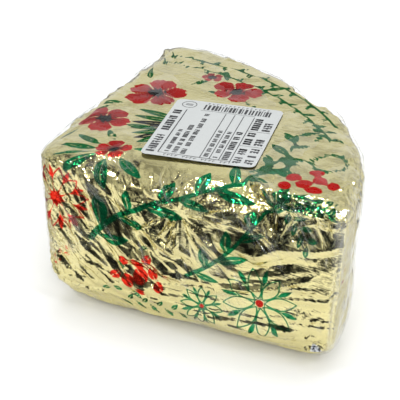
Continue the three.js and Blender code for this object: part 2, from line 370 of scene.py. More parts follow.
# %% Groups of creases
CREASE_BEND = 0.12


def scatter(seed, count, u, v, turn, length, reach, height, lean=(-0.5, 0.5), up=0.6):
    """Creases with seeded places and sizes. Ranges are (low, high); turn is (mean, spread) in degrees.

    A lean below zero makes the upper flank the steep one.
    """
    random = np.random.default_rng(seed)
    creases = []
    for _ in range(count):
        angle = math.radians(turn[0] + turn[1] * random.uniform(-1, 1))
        size = random.uniform(0, 1) ** 1.6
        wide = reach[0] + (reach[1] - reach[0]) * size
        skew = random.uniform(*lean)
        sign = 1 if random.uniform() < up else -1
        tall = sign * (height[0] + (height[1] - height[0]) * size) * random.uniform(0.6, 1)
        creases.append((random.uniform(*u), random.uniform(*v), angle, random.uniform(*length),
                        CREASE_BEND * random.uniform(-1, 1), wide * (1 + skew), wide * (1 - skew), tall))
    return creases


def spokes(seed, count, centre, start, end, inner, length, reach, height):
    """Thin crests that run out from a pinch, between two angles in degrees."""
    random = np.random.default_rng(seed)
    creases = []
    for k in range(count):
        angle = math.radians(start + (end - start) * (k + random.uniform(0.1, 0.9)) / count)
        reach_out = random.uniform(*length)
        middle = inner + reach_out / 2
        wide = random.uniform(*reach)
        creases.append((centre[0] + middle * math.cos(angle), centre[1] + middle * math.sin(angle),
                        angle, reach_out, random.uniform(-0.2, 0.2), wide, wide * random.uniform(0.4, 1),
                        random.uniform(*height)))
    return creases


# %% [markdown]
# ## The main folds
#
# The CAD solid already has the folds that stand out from a step away, as paths on its faces. The
# same paths are used here, with a sharper section, so that solid and skin agree.

# %% Main folds, as in the solid
# each fold: height, reach to either side, and its path over the face
FRONT_FOLDS = [
    (2.6, 5.0, [(25, 78), (36, 51), (48, 39), (60, 39), (77, 31)]),
    (-1.8, 5.0, [(33, 80), (45, 56), (58, 48)]),
    (1.8, 4.5, [(44, 76), (54, 62), (64, 54)]),
    (1.6, 4.5, [(12, 60), (26, 38), (46, 25), (66, 20)]),
    (1.4, 4.5, [(16, 40), (32, 26), (52, 17)]),
    (1.5, 2.0, [(92, 34), (106, 36), (121, 42), (136, 49)]),
    (-1.2, 4.0, [(104, 44), (118, 51), (134, 57)]),
    (1.6, 4.0, [(78, 15), (99, 14), (116, 16), (134, 22)]),
    (2.4, 3.4, [(98, 78), (103, 74), (108, 69), (114, 66), (119, 61)]),
    (2.2, 5.0, [(88, 58), (100, 57), (110, 55), (119, 60)]),
    (1.6, 3.6, [(119, 60), (128, 62), (138, 64), (148, 68)]),
    (1.0, 2.0, [(128, 73), (138, 75), (149, 77)]),
    (1.6, 5.0, [(112, 79), (128, 80), (143, 81)]),
]
TOP_FOLDS = [
    (1.4, 3.5, [(124, 70), (136, 50), (142, 30), (143, 15)]),
    (-0.8, 6.0, [(112, 62), (122, 44), (128, 24)]),
    (0.8, 1.3, [(128, 66), (140, 48), (144, 32), (138, 18), (130, 14)]),
]

# %% Lift along a path
TAPER = 0.3
GATHER_AT = (70, 66)
GATHER_DEPTH = 2.5
GATHER_REACH = 16
FACING = (0.15, 0.55)


def path_lift(u, v, folds):
    """Height over flat coordinates from folds that follow given paths."""
    lift = np.zeros_like(u)
    for height, reach, path in folds:
        path = np.array(path, float)
        lengths = np.linalg.norm(np.diff(path, axis=0), axis=1)
        best = np.full(u.shape, 1e9)
        along = np.zeros_like(u)
        for k, length in enumerate(lengths):
            step = path[k + 1] - path[k]
            raw = ((u - path[k, 0]) * step[0] + (v - path[k, 1]) * step[1]) / length ** 2
            share = np.clip(raw, 0, 1)
            distance = np.hypot(u - path[k, 0] - share * step[0], v - path[k, 1] - share * step[1])
            closer = distance < best
            best = np.where(closer, distance, best)
            along = np.where(closer, lengths[:k].sum() + share * length, along)
        along = along / lengths.sum()
        taper = np.minimum(1, np.minimum(along / TAPER + 0.2, (1 - along) / TAPER + 0.2))
        lift += height * np.clip(1 - best / reach, 0, 1) * taper
    return lift


def main_lift(form):
    """The folds on the front and the top, and the hollow where the front is gathered."""
    x, y, z = np.moveaxis(form["at"], 2, 0)
    front = ease(-form["normal"][..., 1], *FACING)
    lift = path_lift(x, z, FRONT_FOLDS) * front
    from_gather = np.hypot(x - GATHER_AT[0], z - GATHER_AT[1])
    lift -= GATHER_DEPTH * (1 - ease(from_gather, 0, GATHER_REACH)) * front
    return lift + path_lift(x, y, TOP_FOLDS) * ease(form["normal"][..., 2], *FACING)


# %% [markdown]
# ## Flat under the label
#
# The label lies flat, so nothing may poke through it. A boolean cut would leave a hard rim, so the
# folds are faded out instead: each height is multiplied by a mask that is 0 under the label.

# %% Mask under the label
def clear_of_label(form):
    """1 away from the label, 0 under it, so that the label lies flat."""
    x, y, z = np.moveaxis(form["at"], 2, 0)
    dx, dy = x - LABEL_CORNER[0], y - LABEL_CORNER[1]
    across = (dx * math.cos(LABEL_TURN) + dy * math.sin(LABEL_TURN)) / LABEL_WIDTH
    down = (dx * math.sin(LABEL_TURN) - dy * math.cos(LABEL_TURN)) / LABEL_LENGTH
    outside = np.maximum(np.abs(across - 0.5), np.abs(down - 0.5)) - 0.5
    return np.where(z > HEIGHT - SLUMP_DOWN, ease(outside, 0.0, 0.1), 1)


# %% [markdown]
# ## The foil's own crumple
#
# The crumple isn't the same everywhere. The front's left half is pulled into long creases that run
# down to the right. The blunt point and the front's top right edge are crushed fine. Foil is pinched
# together at one place in the middle, with pleats all round. The lower front is drawn smooth, the
# rind side is pleated upright, and the top is almost flat under the tight film.

# %% Facets on the sides
SIDE_FACETS = [
    # seed, low corner, high corner, fade, spacing, stretch, turn, height
    # front left, pulled down to the right
    (61, (2, 16), (70, 80), 18, 5.6, 3.0, -50, 1.2),
    (62, (4, 16), (72, 82), 16, 2.8, 2.6, -46, 0.34),
    (75, (2, 10), (104, 84), 12, 1.4, 2.2, -40, 0.06),
    # the middle, in broader folds
    (85, (54, 28), (112, 64), 12, 6.5, 2.6, -34, 1.1),
    (86, (54, 28), (112, 64), 12, 2.8, 3.0, -38, 0.3),
    # upper right, hanging
    (63, (92, 54), (152, 92), 9, 5.0, 3.4, -74, 0.5),
    (64, (92, 54), (154, 92), 9, 2.0, 3.0, -66, 0.12),
    # crushed edge above it
    (67, (108, 76), (152, 100), 5, 1.9, 1.4, 0, 0.75),
    (78, (104, 74), (152, 100), 5, 1.2, 1.2, 30, 0.3),
    # smooth lower front, and its right end
    (65, (40, -20), (150, 52), 10, 5.4, 4.5, 8, 0.32),
    (66, (40, -20), (150, 52), 10, 1.9, 3.6, 3, 0.05),
    (68, (120, 2), (154, 66), 8, 2.4, 2.8, 30, 0.18),
    # blunt point
    (79, (-36, -20), (30, 112), 10, 5.0, 2.0, -56, 0.8),
    (69, (-36, -20), (30, 112), 8, 1.7, 1.5, -45, 0.3),
    # the base, where the wrap is drawn under in level folds
    (87, (-20, -20), (150, 24), 9, 3.2, 6.0, 7, 0.25),
    # lower left
    (70, (-16, -20), (70, 50), 12, 4.2, 4.0, -36, 0.42),
    (77, (-16, -20), (70, 50), 12, 1.6, 2.6, -40, 0.13),
    # left face
    (71, (-152, -20), (-10, 112), 10, 7.0, 2.0, 40, 1.0),
    (72, (-152, -20), (-10, 112), 10, 3.6, 1.6, 52, 0.45),
    # rind
    (73, (146, -20), (376, 112), 8, 7.0, 3.0, 88, 0.9),
    (74, (146, -20), (376, 112), 8, 4.4, 1.6, 40, 0.5),
]

# %% Facets on the top
TOP_FACETS = [
    (81, (-40, -40), (170, 170), 10, 12.0, 1.6, 28, 0.34),
    (82, (-20, -40), (112, 20), 10, 6.5, 2.4, -50, 0.5),
    (84, (-20, -40), (112, 16), 8, 2.0, 2.0, -44, 0.08),
    (83, (100, -30), (160, 84), 10, 4.2, 2.0, 74, 0.3),
    # the crushed strip goes on a little way over the edge
    (88, (103, -16), (150, 9), 4, 1.9, 1.5, 8, 0.95),
    (89, (103, -16), (150, 11), 4, 1.2, 1.2, 30, 0.3),
]

# %% [markdown]
# ## Pinches
#
# Where foil is pinched together, its pleats run out like the rays of a fan and widen as they go.
# Straight facets can't do that. The same facet function is therefore given polar coordinates, so
# that its even cells become wedges, and a few sharp crests are added as spokes.

# %% Pinches and their crests
PINCHES = [
    # seed, centre, degrees a pleat, length, height, from, to, reach
    (91, (72, 67), 16, 16, 1.4, 80, 425, 32),
    (93, (118.5, 61), 11, 22, 0.8, 28, 172, 38),
    (94, (118.5, 61), 4, 14, 0.16, 28, 172, 34),
    (95, (136, 49), 8, 16, 0.4, 160, 230, 38),
]
PINCH_CRESTS = [
    spokes(27, 12, (118.5, 61), 32, 168, 2, (12, 28), (0.7, 1.2), (0.4, 0.8)),
    spokes(28, 15, (72, 67), 80, 425, 2, (10, 27), (0.9, 1.8), (0.8, 1.5)),
]


def pinch_pleats(seed, u, v, centre, pleat, length, height, start, end, reach):
    """Facets laid out in polar coordinates, so that the pleats widen as they run out."""
    away = np.hypot(u - centre[0], v - centre[1])
    angle = (np.degrees(np.arctan2(v - centre[1], u - centre[0])) - start) % 360
    span = end - start
    lift = facets(seed, angle / pleat, away / length, (0, 0), (span / pleat, reach / length),
                  1.0, 1.0, 0, height)
    lift *= ease(angle, 0, 14) * (1 - ease(angle, span - 14, span))
    return lift * ease(away, 0, 0.35 * reach) * (1 - ease(away, 0.55 * reach, reach))


# %% [markdown]
# ## Laps on the lower front
#
# The lower front is drawn smooth, apart from long thin laps where the foil doubles over. A lap shows
# as a fine dark line with a bright one below it, so its upper flank is steep. There are few of them
# and each one counts, so they are listed one by one.

# %% Laps
LAPS = [
    # middle, turn, length, bend, upper and lower flank, height
    (114, 41, math.radians(19), 50, 0.10, 1.1, 4.0, 0.55),
    (118, 38, math.radians(21), 40, 0.06, 0.9, 2.5, 0.4),
    (75, 29, math.radians(12), 42, 0.08, 1.0, 3.5, 0.5),
    (106, 17.5, math.radians(7), 68, 0.06, 1.1, 4.0, 0.55),
    (98, 20.5, math.radians(5), 60, 0.04, 0.9, 2.5, 0.35),
    (52, 13, math.radians(-8), 50, -0.05, 1.0, 3.5, 0.5),
    (16, 39, math.radians(-53), 24, 0.10, 1.2, 3.0, 0.6),
    (32, 29, math.radians(-18), 24, 0.12, 1.0, 3.0, 0.5),
    (56, 25.5, math.radians(-9), 34, 0.08, 1.0, 3.0, 0.5),
    (60, 6.5, math.radians(4), 90, 0.03, 1.0, 3.0, 0.5),
    (112, 8.5, math.radians(5), 60, -0.03, 1.0, 3.0, 0.5),
]

# %% [markdown]
# ## Scattered creases
#
# Each part of the wrap has its own groups: pulled down to the right, crushed, drawn level under the
# base, or pleated upright on the rind. Each line gives the seed, the count and the ranges.

# %% Creases on the sides
SIDE_ZONES = [
    LAPS,
    # the front: creases down to the right, and short ones across them
    scatter(21, 34, (16, 72), (24, 80), (-52, 14), (14, 44), (1.0, 3.2), (0.4, 1.2)),
    scatter(22, 16, (14, 84), (20, 76), (-50, 24), (8, 22), (0.6, 0.9), (0.2, 0.5)),
    # steep streaks that catch the light
    scatter(20, 16, (2, 66), (30, 82), (-57, 7), (12, 30), (0.6, 1.0), (0.6, 1.1), lean=(-0.8, 0.8),
            up=1),
    # folds that hang on the upper right, and the crushed edge above them
    scatter(23, 10, (96, 148), (66, 84), (-60, 30), (10, 24), (1.2, 3), (0.5, 1.0), lean=(-0.75, 0.75)),
    scatter(25, 160, (100, 150), (76, 98), (0, 90), (2, 7), (0.6, 1.2), (0.3, 0.8)),
    # the middle
    scatter(26, 14, (60, 108), (34, 62), (-34, 30), (12, 30), (1.0, 3.5), (0.4, 1.1)),
    # the smooth lower front: long shallow folds, and the wrinkled right end
    scatter(29, 26, (44, 138), (4, 44), (4, 7), (26, 64), (1.5, 2.4), (0.3, 0.6), lean=(-0.7, -0.45),
            up=1),
    scatter(30, 26, (50, 142), (4, 46), (8, 14), (10, 30), (0.8, 1.1), (0.1, 0.35), lean=(-0.4, 0)),
    scatter(31, 46, (112, 153), (4, 62), (30, 24), (5, 15), (0.7, 1.0), (0.2, 0.5)),
    # the lower left, with long creases that run down from the point
    scatter(32, 26, (-4, 70), (2, 48), (-38, 10), (14, 44), (0.6, 2.2), (0.2, 0.8)),
    scatter(39, 30, (-6, 76), (4, 50), (-40, 12), (16, 44), (0.9, 1.6), (0.3, 0.6), lean=(-0.6, -0.2),
            up=1),
    # near the base, where the wrap is drawn under
    scatter(36, 34, (-10, 150), (-8, 20), (6, 6), (24, 80), (1.4, 2.4), (0.25, 0.6),
            lean=(-0.65, -0.45), up=1),
    # round the bare corner
    scatter(40, 10, (134, 149), (6, 20), (30, 60), (3, 7), (0.7, 1.1), (0.4, 0.8)),
    [(142, 12.5, math.radians(25), 15, 0.1, 2.0, 4.0, 2.2)],
    # the point
    scatter(33, 110, (-36, 30), (-6, 96), (0, 90), (3, 9), (0.5, 0.8), (0.08, 0.2)),
    # the edge between the front and the rind
    [(149.5, 44, math.radians(89), 84, 0.02, 1.6, 2.6, 1.1)],
    # the left face
    scatter(35, 90, (-148, -16), (4, 92), (40, 50), (10, 44), (1.6, 5.0), (0.3, 1.3)),
    # the rind side
    scatter(37, 110, (154, 372), (2, 96), (90, 12), (18, 66), (1.8, 4.0), (0.3, 0.9)),
    scatter(38, 140, (154, 372), (2, 96), (60, 60), (5, 18), (1.4, 2.4), (0.15, 0.5)),
]
print("creases on the sides:", sum(len(zone) for zone in SIDE_ZONES))

# %% Creases on the top
TOP_ZONES = [
    scatter(41, 50, (2, 140), (2, 140), (20, 80), (14, 50), (1.5, 5.0), (0.1, 0.4), up=0.5),
    scatter(43, 80, (104, 147), (2, 84), (76, 40), (4, 16), (0.7, 1.4), (0.15, 0.6)),
    scatter(44, 34, (0, 104), (-24, 22), (-50, 50), (4, 16), (0.7, 2.0), (0.15, 0.5)),
    scatter(45, 80, (2, 110), (96, 150), (10, 60), (4, 20), (1.4, 2.8), (0.08, 0.3)),
]
print("creases on the top:", sum(len(zone) for zone in TOP_ZONES))


# %% [markdown]
# ## Add the crumple up
#
# Facets, creases and pinches are only heights, so they are added. Round each pinch the scattered
# creases are calmed first, so that the fan of pleats reads clearly. Sides and top are worked out on
# their own charts and blended over the edge.

# %% The whole crumple
CALM_SPOTS = (((72, 67), 20), ((116, 72), 24))
CALMED = 0.7


def sum_facets(u, v, fields):
    lift = np.zeros(len(u))
    for seed, low, high, fade, spacing, stretch, turn, height in fields:
        lift += (facets(seed, u, v, low, high, spacing, stretch, turn, height)
                 * zone_share(u, v, low, high, fade))
    return lift


def crumple(form):
    """The foil's own facets and creases, measured along the normal."""
    around, girth = form["around"].ravel(), form["girth"].ravel()
    sheet = form["sheet"].reshape(-1, 2)
    side = sum_facets(around, girth, SIDE_FACETS)
    for zone in SIDE_ZONES:
        add_creases(side, around, girth, zone)
    for centre, reach in CALM_SPOTS:
        away = np.hypot(around - centre[0], girth - centre[1])
        side *= 1 - CALMED * (1 - ease(away, 0.4 * reach, reach))
    for pinch in PINCHES:
        side += pinch_pleats(pinch[0], around, girth, *pinch[1:])
    for crests in PINCH_CRESTS:
        add_creases(side, around, girth, crests)
    top = sum_facets(sheet[:, 0], sheet[:, 1], TOP_FACETS)
    for zone in TOP_ZONES:
        add_creases(top, sheet[:, 0], sheet[:, 1], zone)
    topness = form["topness"].ravel()
    return (side * (1 - topness) + top * topness).reshape(form["girth"].shape)


# %% [markdown]
# ## Broad hollows
#
# Where the wrap has slumped, a whole patch tilts and mirrors another part of the studio, far more
# than any crease does. A lattice could bend the form. A soft-edged dent in the same height field is
# simpler and stays in step with the rest.

# %% Hollows
HOLLOWS = [
    # depth, low corner, high corner, fade
    (5.4, (90, 56), (153, 126), 23),
    (1.0, (20, 50), (70, 120), 18),
    (3.6, (262, 60), (304, 130), 14),
]


def hollow_lift(form):
    """Broad dents with soft edges. The first tilts the upper right of the front to face upwards."""
    lift = np.zeros_like(form["girth"])
    for depth, low, high, fade in HOLLOWS:
        lift -= depth * zone_share(form["around"], form["girth"], low, high, fade)
    return lift * (1 - ease(form["topness"], 0.5, 1))


# %% [markdown]
# ## Shape the foil
#
# The steps set how many points each stretch gets. The front and its upper edge have the finest
# crumple, so they get the most, and the base, which isn't seen, gets few. The foil then moves along
# its normals by the summed heights, fading out at the floor so that the base stays flat.

# %% Foil
FOIL_STEPS = {"tip": 36, "front": 240, "near": 20, "rind": 136, "far": 8, "left": 72,
              "base": 30, "side": 90, "edge": 36, "top": 38}
FOIL_DEPTH = 0.35
FOIL_LOWEST = 0.25
FLOOR_FADE = (0.1, 2.5)
form = smooth_form(FOIL_STEPS)
off_floor = ease(form["at"][..., 2], *FLOOR_FADE)
under_label = clear_of_label(form)
foil_lift = main_lift(form) + hollow_lift(form) + crumple(form)
foil_lift = foil_lift * under_label * off_floor - FOIL_DEPTH
foil_at = form["at"] + form["normal"] * foil_lift[..., None]
foil_at[..., 2] = np.maximum(foil_at[..., 2], FOIL_LOWEST)
print("foil lift from", round(foil_lift.min(), 2), "to", round(foil_lift.max(), 2), "mm")

# %% [markdown]
# ## The print
#
# The foil is printed in green, red and near-black lacquer, so thin that the metal shines through.
# An image texture isn't used. Each motif is worked out instead as a signed distance, below zero
# inside the ink, and stored on the foil's points. The material then cuts it sharply at zero, so an
# edge stays crisp although the points lie 0.6 mm or more apart. An outline is cut where the distance
# is near zero on either side.
#
# The design is a plain one of leaves and blossoms: leafy garlands that sweep over the front, star
# flowers in outline, and red five-petalled blossoms on top.

# %% Ink layers
LAYERS = ("green_area", "green_line", "red_area", "red_line", "dark_area")
FAR_AWAY = 9.0
FULL_TURN = 2 * math.pi
ink = {layer: np.full(form["girth"].size, FAR_AWAY) for layer in LAYERS}
petal_tone = np.ones(form["girth"].size)
SHEET = form["sheet"].reshape(-1, 2)
SIDES = np.column_stack([form["around"].ravel(), form["girth"].ravel()])
TOPNESS = form["topness"].ravel()
IS_TOP_SHEET = (SIDES[:, 0] > 2) & (SIDES[:, 0] < 146) | (TOPNESS > 0.5)
ON_SIDE = TOPNESS < 0.9


def near_points(chart, centre, radius):
    """Points within a radius of a motif's centre, and their place relative to it."""
    at = SHEET if chart == "sheet" else SIDES
    allowed = IS_TOP_SHEET if chart == "sheet" else ON_SIDE
    away = at - np.array(centre)
    near = np.nonzero((np.hypot(away[:, 0], away[:, 1]) < radius) & allowed)[0]
    return near, away[near, 0], away[near, 1]


def turned(p, q, angle):
    """Places as seen along axes turned by an angle in radians."""
    return p * math.cos(angle) + q * math.sin(angle), -p * math.sin(angle) + q * math.cos(angle)


def lay(layer, near, distance):
    """Adds a shape to an ink layer."""
    ink[layer][near] = np.minimum(ink[layer][near], distance)


def blade(p, q, start, end, half_width, blunt=0.8):
    """A leaf or petal shape that lies along p."""
    share = np.clip((p - start) / (end - start), 0, 1)
    edge = half_width * np.sin(math.pi * share) ** blunt
    return np.maximum(np.abs(q) - edge, np.maximum(start - p, p - end))


# %% [markdown]
# ## Leaves and blossoms
#
# A leaf is one blade with a gap along its vein. A blossom is worked out in polar coordinates: its
# edge is a wave round the middle, notched between the petals and ruffled a little. Its petals are
# dark towards the heart, which is stored as a tone for the red to follow.

# %% Leaf and blossom
BLOSSOM_PETALS = 5
BLOSSOM_RAYS = 14


def leaf(chart, centre, angle, length, width, layer="green_area"):
    near, p, q = near_points(chart, centre, length + 2)
    p, q = turned(p, q, math.radians(angle))
    body = blade(p, q, 0, length, width / 2)
    vein = 0.22 - np.abs(q)
    lay(layer, near, np.maximum(body, np.where((p > length * 0.1) & (p < length * 0.75), vein, -1)))


def blossom(chart, centre, radius, turn=0.0, seed=0):
    """A red flower of separate rounded petals, streaked dark to the middle."""
    near, p, q = near_points(chart, centre, radius * 1.3)
    reach = np.hypot(p, q)
    angle = np.arctan2(q, p) + math.radians(turn)
    petal_place = angle * BLOSSOM_PETALS / FULL_TURN
    sector = petal_place % 1 - 0.5
    number = np.floor(petal_place).astype(int) % BLOSSOM_PETALS
    random = np.random.default_rng(seed)
    sizes = random.uniform(0.82, 1.0, BLOSSOM_PETALS)
    tones = random.uniform(0.75, 1.05, BLOSSOM_PETALS)
    notch = 0.08 * np.exp(-(sector / 0.07) ** 2)
    ruffle = 0.025 * np.sin(angle * 23 + seed) + 0.015 * np.sin(angle * 41 + 2 * seed)
    edge = radius * sizes[number] * (0.96 * np.cos(sector * 2.2) ** 0.45 - notch + ruffle)
    gap = 0.35 + 0.02 * reach - np.abs(np.abs(sector) - 0.5) * FULL_TURN / BLOSSOM_PETALS * reach
    gap = np.where(reach > radius * 0.22, gap, -1)
    lay("red_area", near, np.maximum(reach - edge, gap))
    streak = 0.5 + 0.5 * np.sin(angle * 31 + seed * 3)
    depth = np.clip(reach / edge, 0, 1)
    shade = tones[number] * (0.45 + 0.55 * depth ** 0.7 - 0.18 * streak * (1 - depth))
    petal_tone[near] = np.where(reach < edge + 1, shade, petal_tone[near])
    ragged = radius * (0.2 + 0.05 * np.sin(angle * 9 + seed) + 0.04 * np.sin(angle * 17))
    ray = (angle * BLOSSOM_RAYS / FULL_TURN + 0.3 * seed) % 1 - 0.5
    rays = np.abs(ray) * FULL_TURN / BLOSSOM_RAYS * reach - 0.28
    rays = np.maximum(rays, reach - radius * 0.42)
    lay("dark_area", near, np.minimum(reach - ragged, rays))


# %% [markdown]
# ## Star flowers
#
# These are drawn in outline, so a petal's distance goes to a line layer, where the material keeps
# only a thin band on either side of zero. Turning the points instead of the petal keeps one formula.

# %% Star flower
def star_flower(chart, centre, radius, petals, colour, turn=0.0, heart=None):
    """Pointed petals in outline with solid leaflets between them, round a dark heart."""
    near, p, q = near_points(chart, centre, radius * 1.25)
    for k in range(petals):
        angle = math.radians(turn) + FULL_TURN * k / petals
        along, across = turned(p, q, angle)
        petal = blade(along, across, radius * 0.14, radius * 0.98, radius * 0.18, 0.9)
        lay(colour + "_line", near, petal)
        along, across = turned(p, q, angle + math.pi / petals)
        solid = blade(along, across, radius * 0.56, radius * 1.04, radius * 0.07, 1.0)
        stalk_ends = np.maximum(radius * 0.15 - along, along - radius * 0.6)
        stalk = np.maximum(np.abs(across) - 0.2, stalk_ends)
        lay(colour + "_area", near, np.minimum(solid, stalk))
    reach = np.hypot(p, q)
    rays = 0.14 + 0.09 * np.abs(np.sin(np.arctan2(q, p) * petals))
    lay("dark_area" if heart else colour + "_area", near, reach - radius * (0.15 if heart else rays))
    if heart:
        lay(heart, near, reach - radius * 0.11)
        petal_tone[near] = np.where(reach < radius * 0.14, 0.5, petal_tone[near])
        ink["dark_area"][near] = np.where(reach < radius * 0.115, FAR_AWAY, ink["dark_area"][near])


# %% [markdown]
# ## Garlands
#
# A garland is a stem with leaves to both sides. The stem is a smooth curve fitted through a few
# given points, and the leaves follow it at even steps, each a little different in size and lean.

# %% Garland
PATH_STEPS = 240


def garland(chart, points, leaf_length, leaf_width, spacing, stem=0.7, seed=0):
    """A stem along a smooth path with leaves on both sides by turns."""
    points = np.array(points, float)
    knots = np.linspace(0, 1, len(points))
    fine = np.linspace(0, 1, PATH_STEPS)
    fit = [np.polyfit(knots, points[:, axis], min(3, len(points) - 1)) for axis in (0, 1)]
    path = np.column_stack([np.polyval(part, fine) for part in fit])
    centre = path.mean(0)
    near, p, q = near_points(chart, centre, np.hypot(*(path - centre).T).max() + 4)
    at = np.column_stack([p, q]) + centre
    distance = np.full(len(near), FAR_AWAY)
    for spot in path:
        distance = np.minimum(distance, np.hypot(at[:, 0] - spot[0], at[:, 1] - spot[1]))
    lay("green_area", near, distance - stem)
    random = np.random.default_rng(seed)
    steps = np.hypot(*np.diff(path, axis=0).T)
    run = np.concatenate([[0], np.cumsum(steps)])
    for number, where in enumerate(np.arange(spacing / 2, run[-1], spacing)):
        k = int(np.searchsorted(run, where))
        k = min(max(k, 1), len(path) - 1)
        heading = math.degrees(math.atan2(*(path[k] - path[k - 1])[::-1]))
        side = 1 if number % 2 else -1
        size = random.uniform(0.8, 1.1)
        angle = heading + side * random.uniform(38, 56)
        leaf(chart, path[k], angle, leaf_length * size, leaf_width * size)


# %% [markdown]
# ## Buds and borders
#
# Buds are placed on a sunflower spiral, which keeps them apart without any testing. A border is a
# straight row of leaflets that lean to either side by turns.

# %% Bud cluster and leaflet row
SPIRAL_TURN = 2.4


def bud_cluster(chart, centre, radius, count, seed, sizes=(2.9, 2.1, 1.7, 1.5), slit_half=0.25):
    """Small red buds with a few leaflets, from the largest in the middle outwards."""
    random = np.random.default_rng(seed)
    for k in range(count):
        out, turn = radius * math.sqrt((k + 0.3) / count), SPIRAL_TURN * k + seed
        spot = np.array(centre) + (out * math.cos(turn), out * math.sin(turn))
        near, p, q = near_points(chart, spot, 7)
        angle = random.uniform(0, math.pi)
        along, across = turned(p, q, angle)
        size = sizes[min(k, len(sizes) - 1)] * random.uniform(0.85, 1.1)
        body = np.hypot(along / 1.25, across) - size
        slit = slit_half - np.abs(across - 0.3 * along)
        lay("red_area", near, np.maximum(body, np.where(np.hypot(p, q) > size * 0.3, slit, -1)))
    for _ in range(count // 2 + 2):
        spot = np.array(centre) + random.uniform(-radius, radius, 2) * 1.2
        leaf(chart, spot, random.uniform(0, 360), random.uniform(4, 7), random.uniform(1.6, 2.6))


def leaflet_row(chart, start, end, length, width, spacing, layer="green_area"):
    """A band of small leaflets, as a border."""
    start, end = np.array(start, float), np.array(end, float)
    heading = math.degrees(math.atan2(*(end - start)[::-1]))
    count = int(np.hypot(*(end - start)) / spacing)
    for k in range(count):
        spot = start + (end - start) * (k + 0.5) / count
        leaf(chart, spot, heading + (50 if k % 2 else -50), length, width, layer)


# %% [markdown]
# ## Lay out the print
#
# Each motif is placed one by one on its chart: "sheet" is the top with its edges unfolded, and "side" is
# the unrolled sides. A random layout would crowd some places and leave others bare.

# %% Print on the top: blossoms with dark and green leaves
for number in range(7):
    layer = "dark_area" if number in (2, 3, 5) else "green_area"
    leaf("sheet", (48, 58 - 3 * number), 172 + 11 * number, 25 - 1.5 * number, 4.6, layer)
BLOSSOM_LEAVES = [
    # foot, heading, length
    ((14, 64), 190, 13), ((10, 60), 230, 11), ((34, 98), 60, 13), ((12, 98), 120, 13),
    ((44, 96), 350, 9), ((26, 42), 10, 15), ((8, 30), 240, 12), ((26, 18), 160, 16),
    ((26, 14), 190, 18), ((28, 10), 222, 18), ((32, 8), 262, 17), ((38, 8), 292, 17),
    ((42, 12), 330, 16), ((42, 20), 20, 14), ((30, 24), 130, 13), ((70, 108), 40, 12),
    ((48, 112), 110, 11), ((66, 92), 330, 10),
]
for spot, angle, length in BLOSSOM_LEAVES:
    leaf("sheet", spot, angle, length, length * 0.3)
blossom("sheet", (23, 82), 18, turn=10, seed=1)
blossom("sheet", (14, 44), 16, turn=40, seed=2)
blossom("sheet", (34, 16), 10.5, turn=70, seed=3)
blossom("sheet", (58, 101), 14.5, turn=25, seed=4)
blossom("sheet", (40, 112), 6.5, turn=60, seed=5)

# %% Print on the far edge and the right of the top
# two garlands along the far edge, then a sprig, a wreath and a bud cluster
garland("sheet", ((4, 122), (36, 119), (72, 107), (112, 76)), 6, 2.6, 6.5, stem=0.75, seed=14)
garland("sheet", ((4, 132), (38, 129), (76, 116), (116, 84)), 6.5, 2.8, 8.0, stem=0.75, seed=15)
garland("sheet", ((106, 80), (112, 76), (120, 66)), 9, 3.2, 4.5, stem=0.7, seed=6)
WREATH_AT = (127, 45)
WREATH_RADIUS = 6.5
WREATH_LEAVES = 14
for k in range(WREATH_LEAVES):
    turn = FULL_TURN * k / WREATH_LEAVES
    spot = (WREATH_AT[0] + WREATH_RADIUS * math.cos(turn), WREATH_AT[1] + WREATH_RADIUS * math.sin(turn))
    leaf("sheet", spot, math.degrees(turn) + 60, 5.5, 2.6)
bud_cluster("sheet", (124, 24), 12.5, 7, 61, sizes=(3.3, 3.1, 2.9), slit_half=-1.0)

# %% Print on the front
# garlands that sweep from the front over the edge, then star flowers, buds and borders
garland("sheet", ((39, -36), (57, -12), (84, 6), (112, 32)), 14, 5.4, 7.5, stem=1.1, seed=7)
garland("sheet", ((76, -40), (94, -20), (108, -2), (128, 12)), 11, 4.4, 6.5, stem=0.9, seed=8)
garland("sheet", ((98, 22), (106, 40), (104, 66)), 12, 4.8, 7, stem=0.9, seed=9)
star_flower("side", (112, 30), 18, 8, "green", turn=12, heart="red_area")
star_flower("side", (84, 21), 10.5, 8, "green", turn=0, heart="red_area")
star_flower("side", (11, 61), 16.5, 10, "red", turn=8)
bud_cluster("side", (52, 31), 12.5, 9, 62, sizes=(3.3, 3.0, 2.7, 2.4))
leaflet_row("side", (40, 14), (74, 14), 6, 2.4, 3.6)
leaflet_row("side", (4, 24), (16, 34), 3.4, 1.5, 2.6, "red_area")
leaflet_row("side", (155, 44), (157, 62), 3.4, 1.4, 2.6, "red_area")
leaflet_row("side", (112, 82), (146, 84), 6, 2.6, 2.4)
leaflet_row("side", (122, 78), (134, 64), 6, 2.6, 2.6)
leaflet_row("sheet", (108, 3), (146, 8), 6.5, 3.2, 2.4)
leaflet_row("sheet", (114, -3), (148, 1), 6.5, 3.2, 2.6)

# %% Print on the rind and the left face
star_flower("side", (196, 44), 17, 10, "green", turn=5, heart="red_area")
star_flower("side", (300, 40), 15, 10, "red")
garland("side", ((170, 70), (220, 58), (262, 66), (320, 60)), 12, 4.6, 8, stem=0.9, seed=10)
bud_cluster("side", (246, 26), 9, 7, 63)
blossom("side", (344, 52), 14, seed=11)
star_flower("side", (-46, 40), 17, 8, "green", turn=5, heart="red_area")
blossom("side", (-92, 52), 15, turn=15, seed=12)
garland("side", ((-136, 20), (-112, 34), (-84, 26), (-60, 62)), 12, 4.6, 8, stem=0.9, seed=13)
bud_cluster("side", (-120, 62), 9, 7, 64)
print("ink covers", {layer: f"{(ink[layer] < 0).mean():.1%}" for layer in LAYERS})

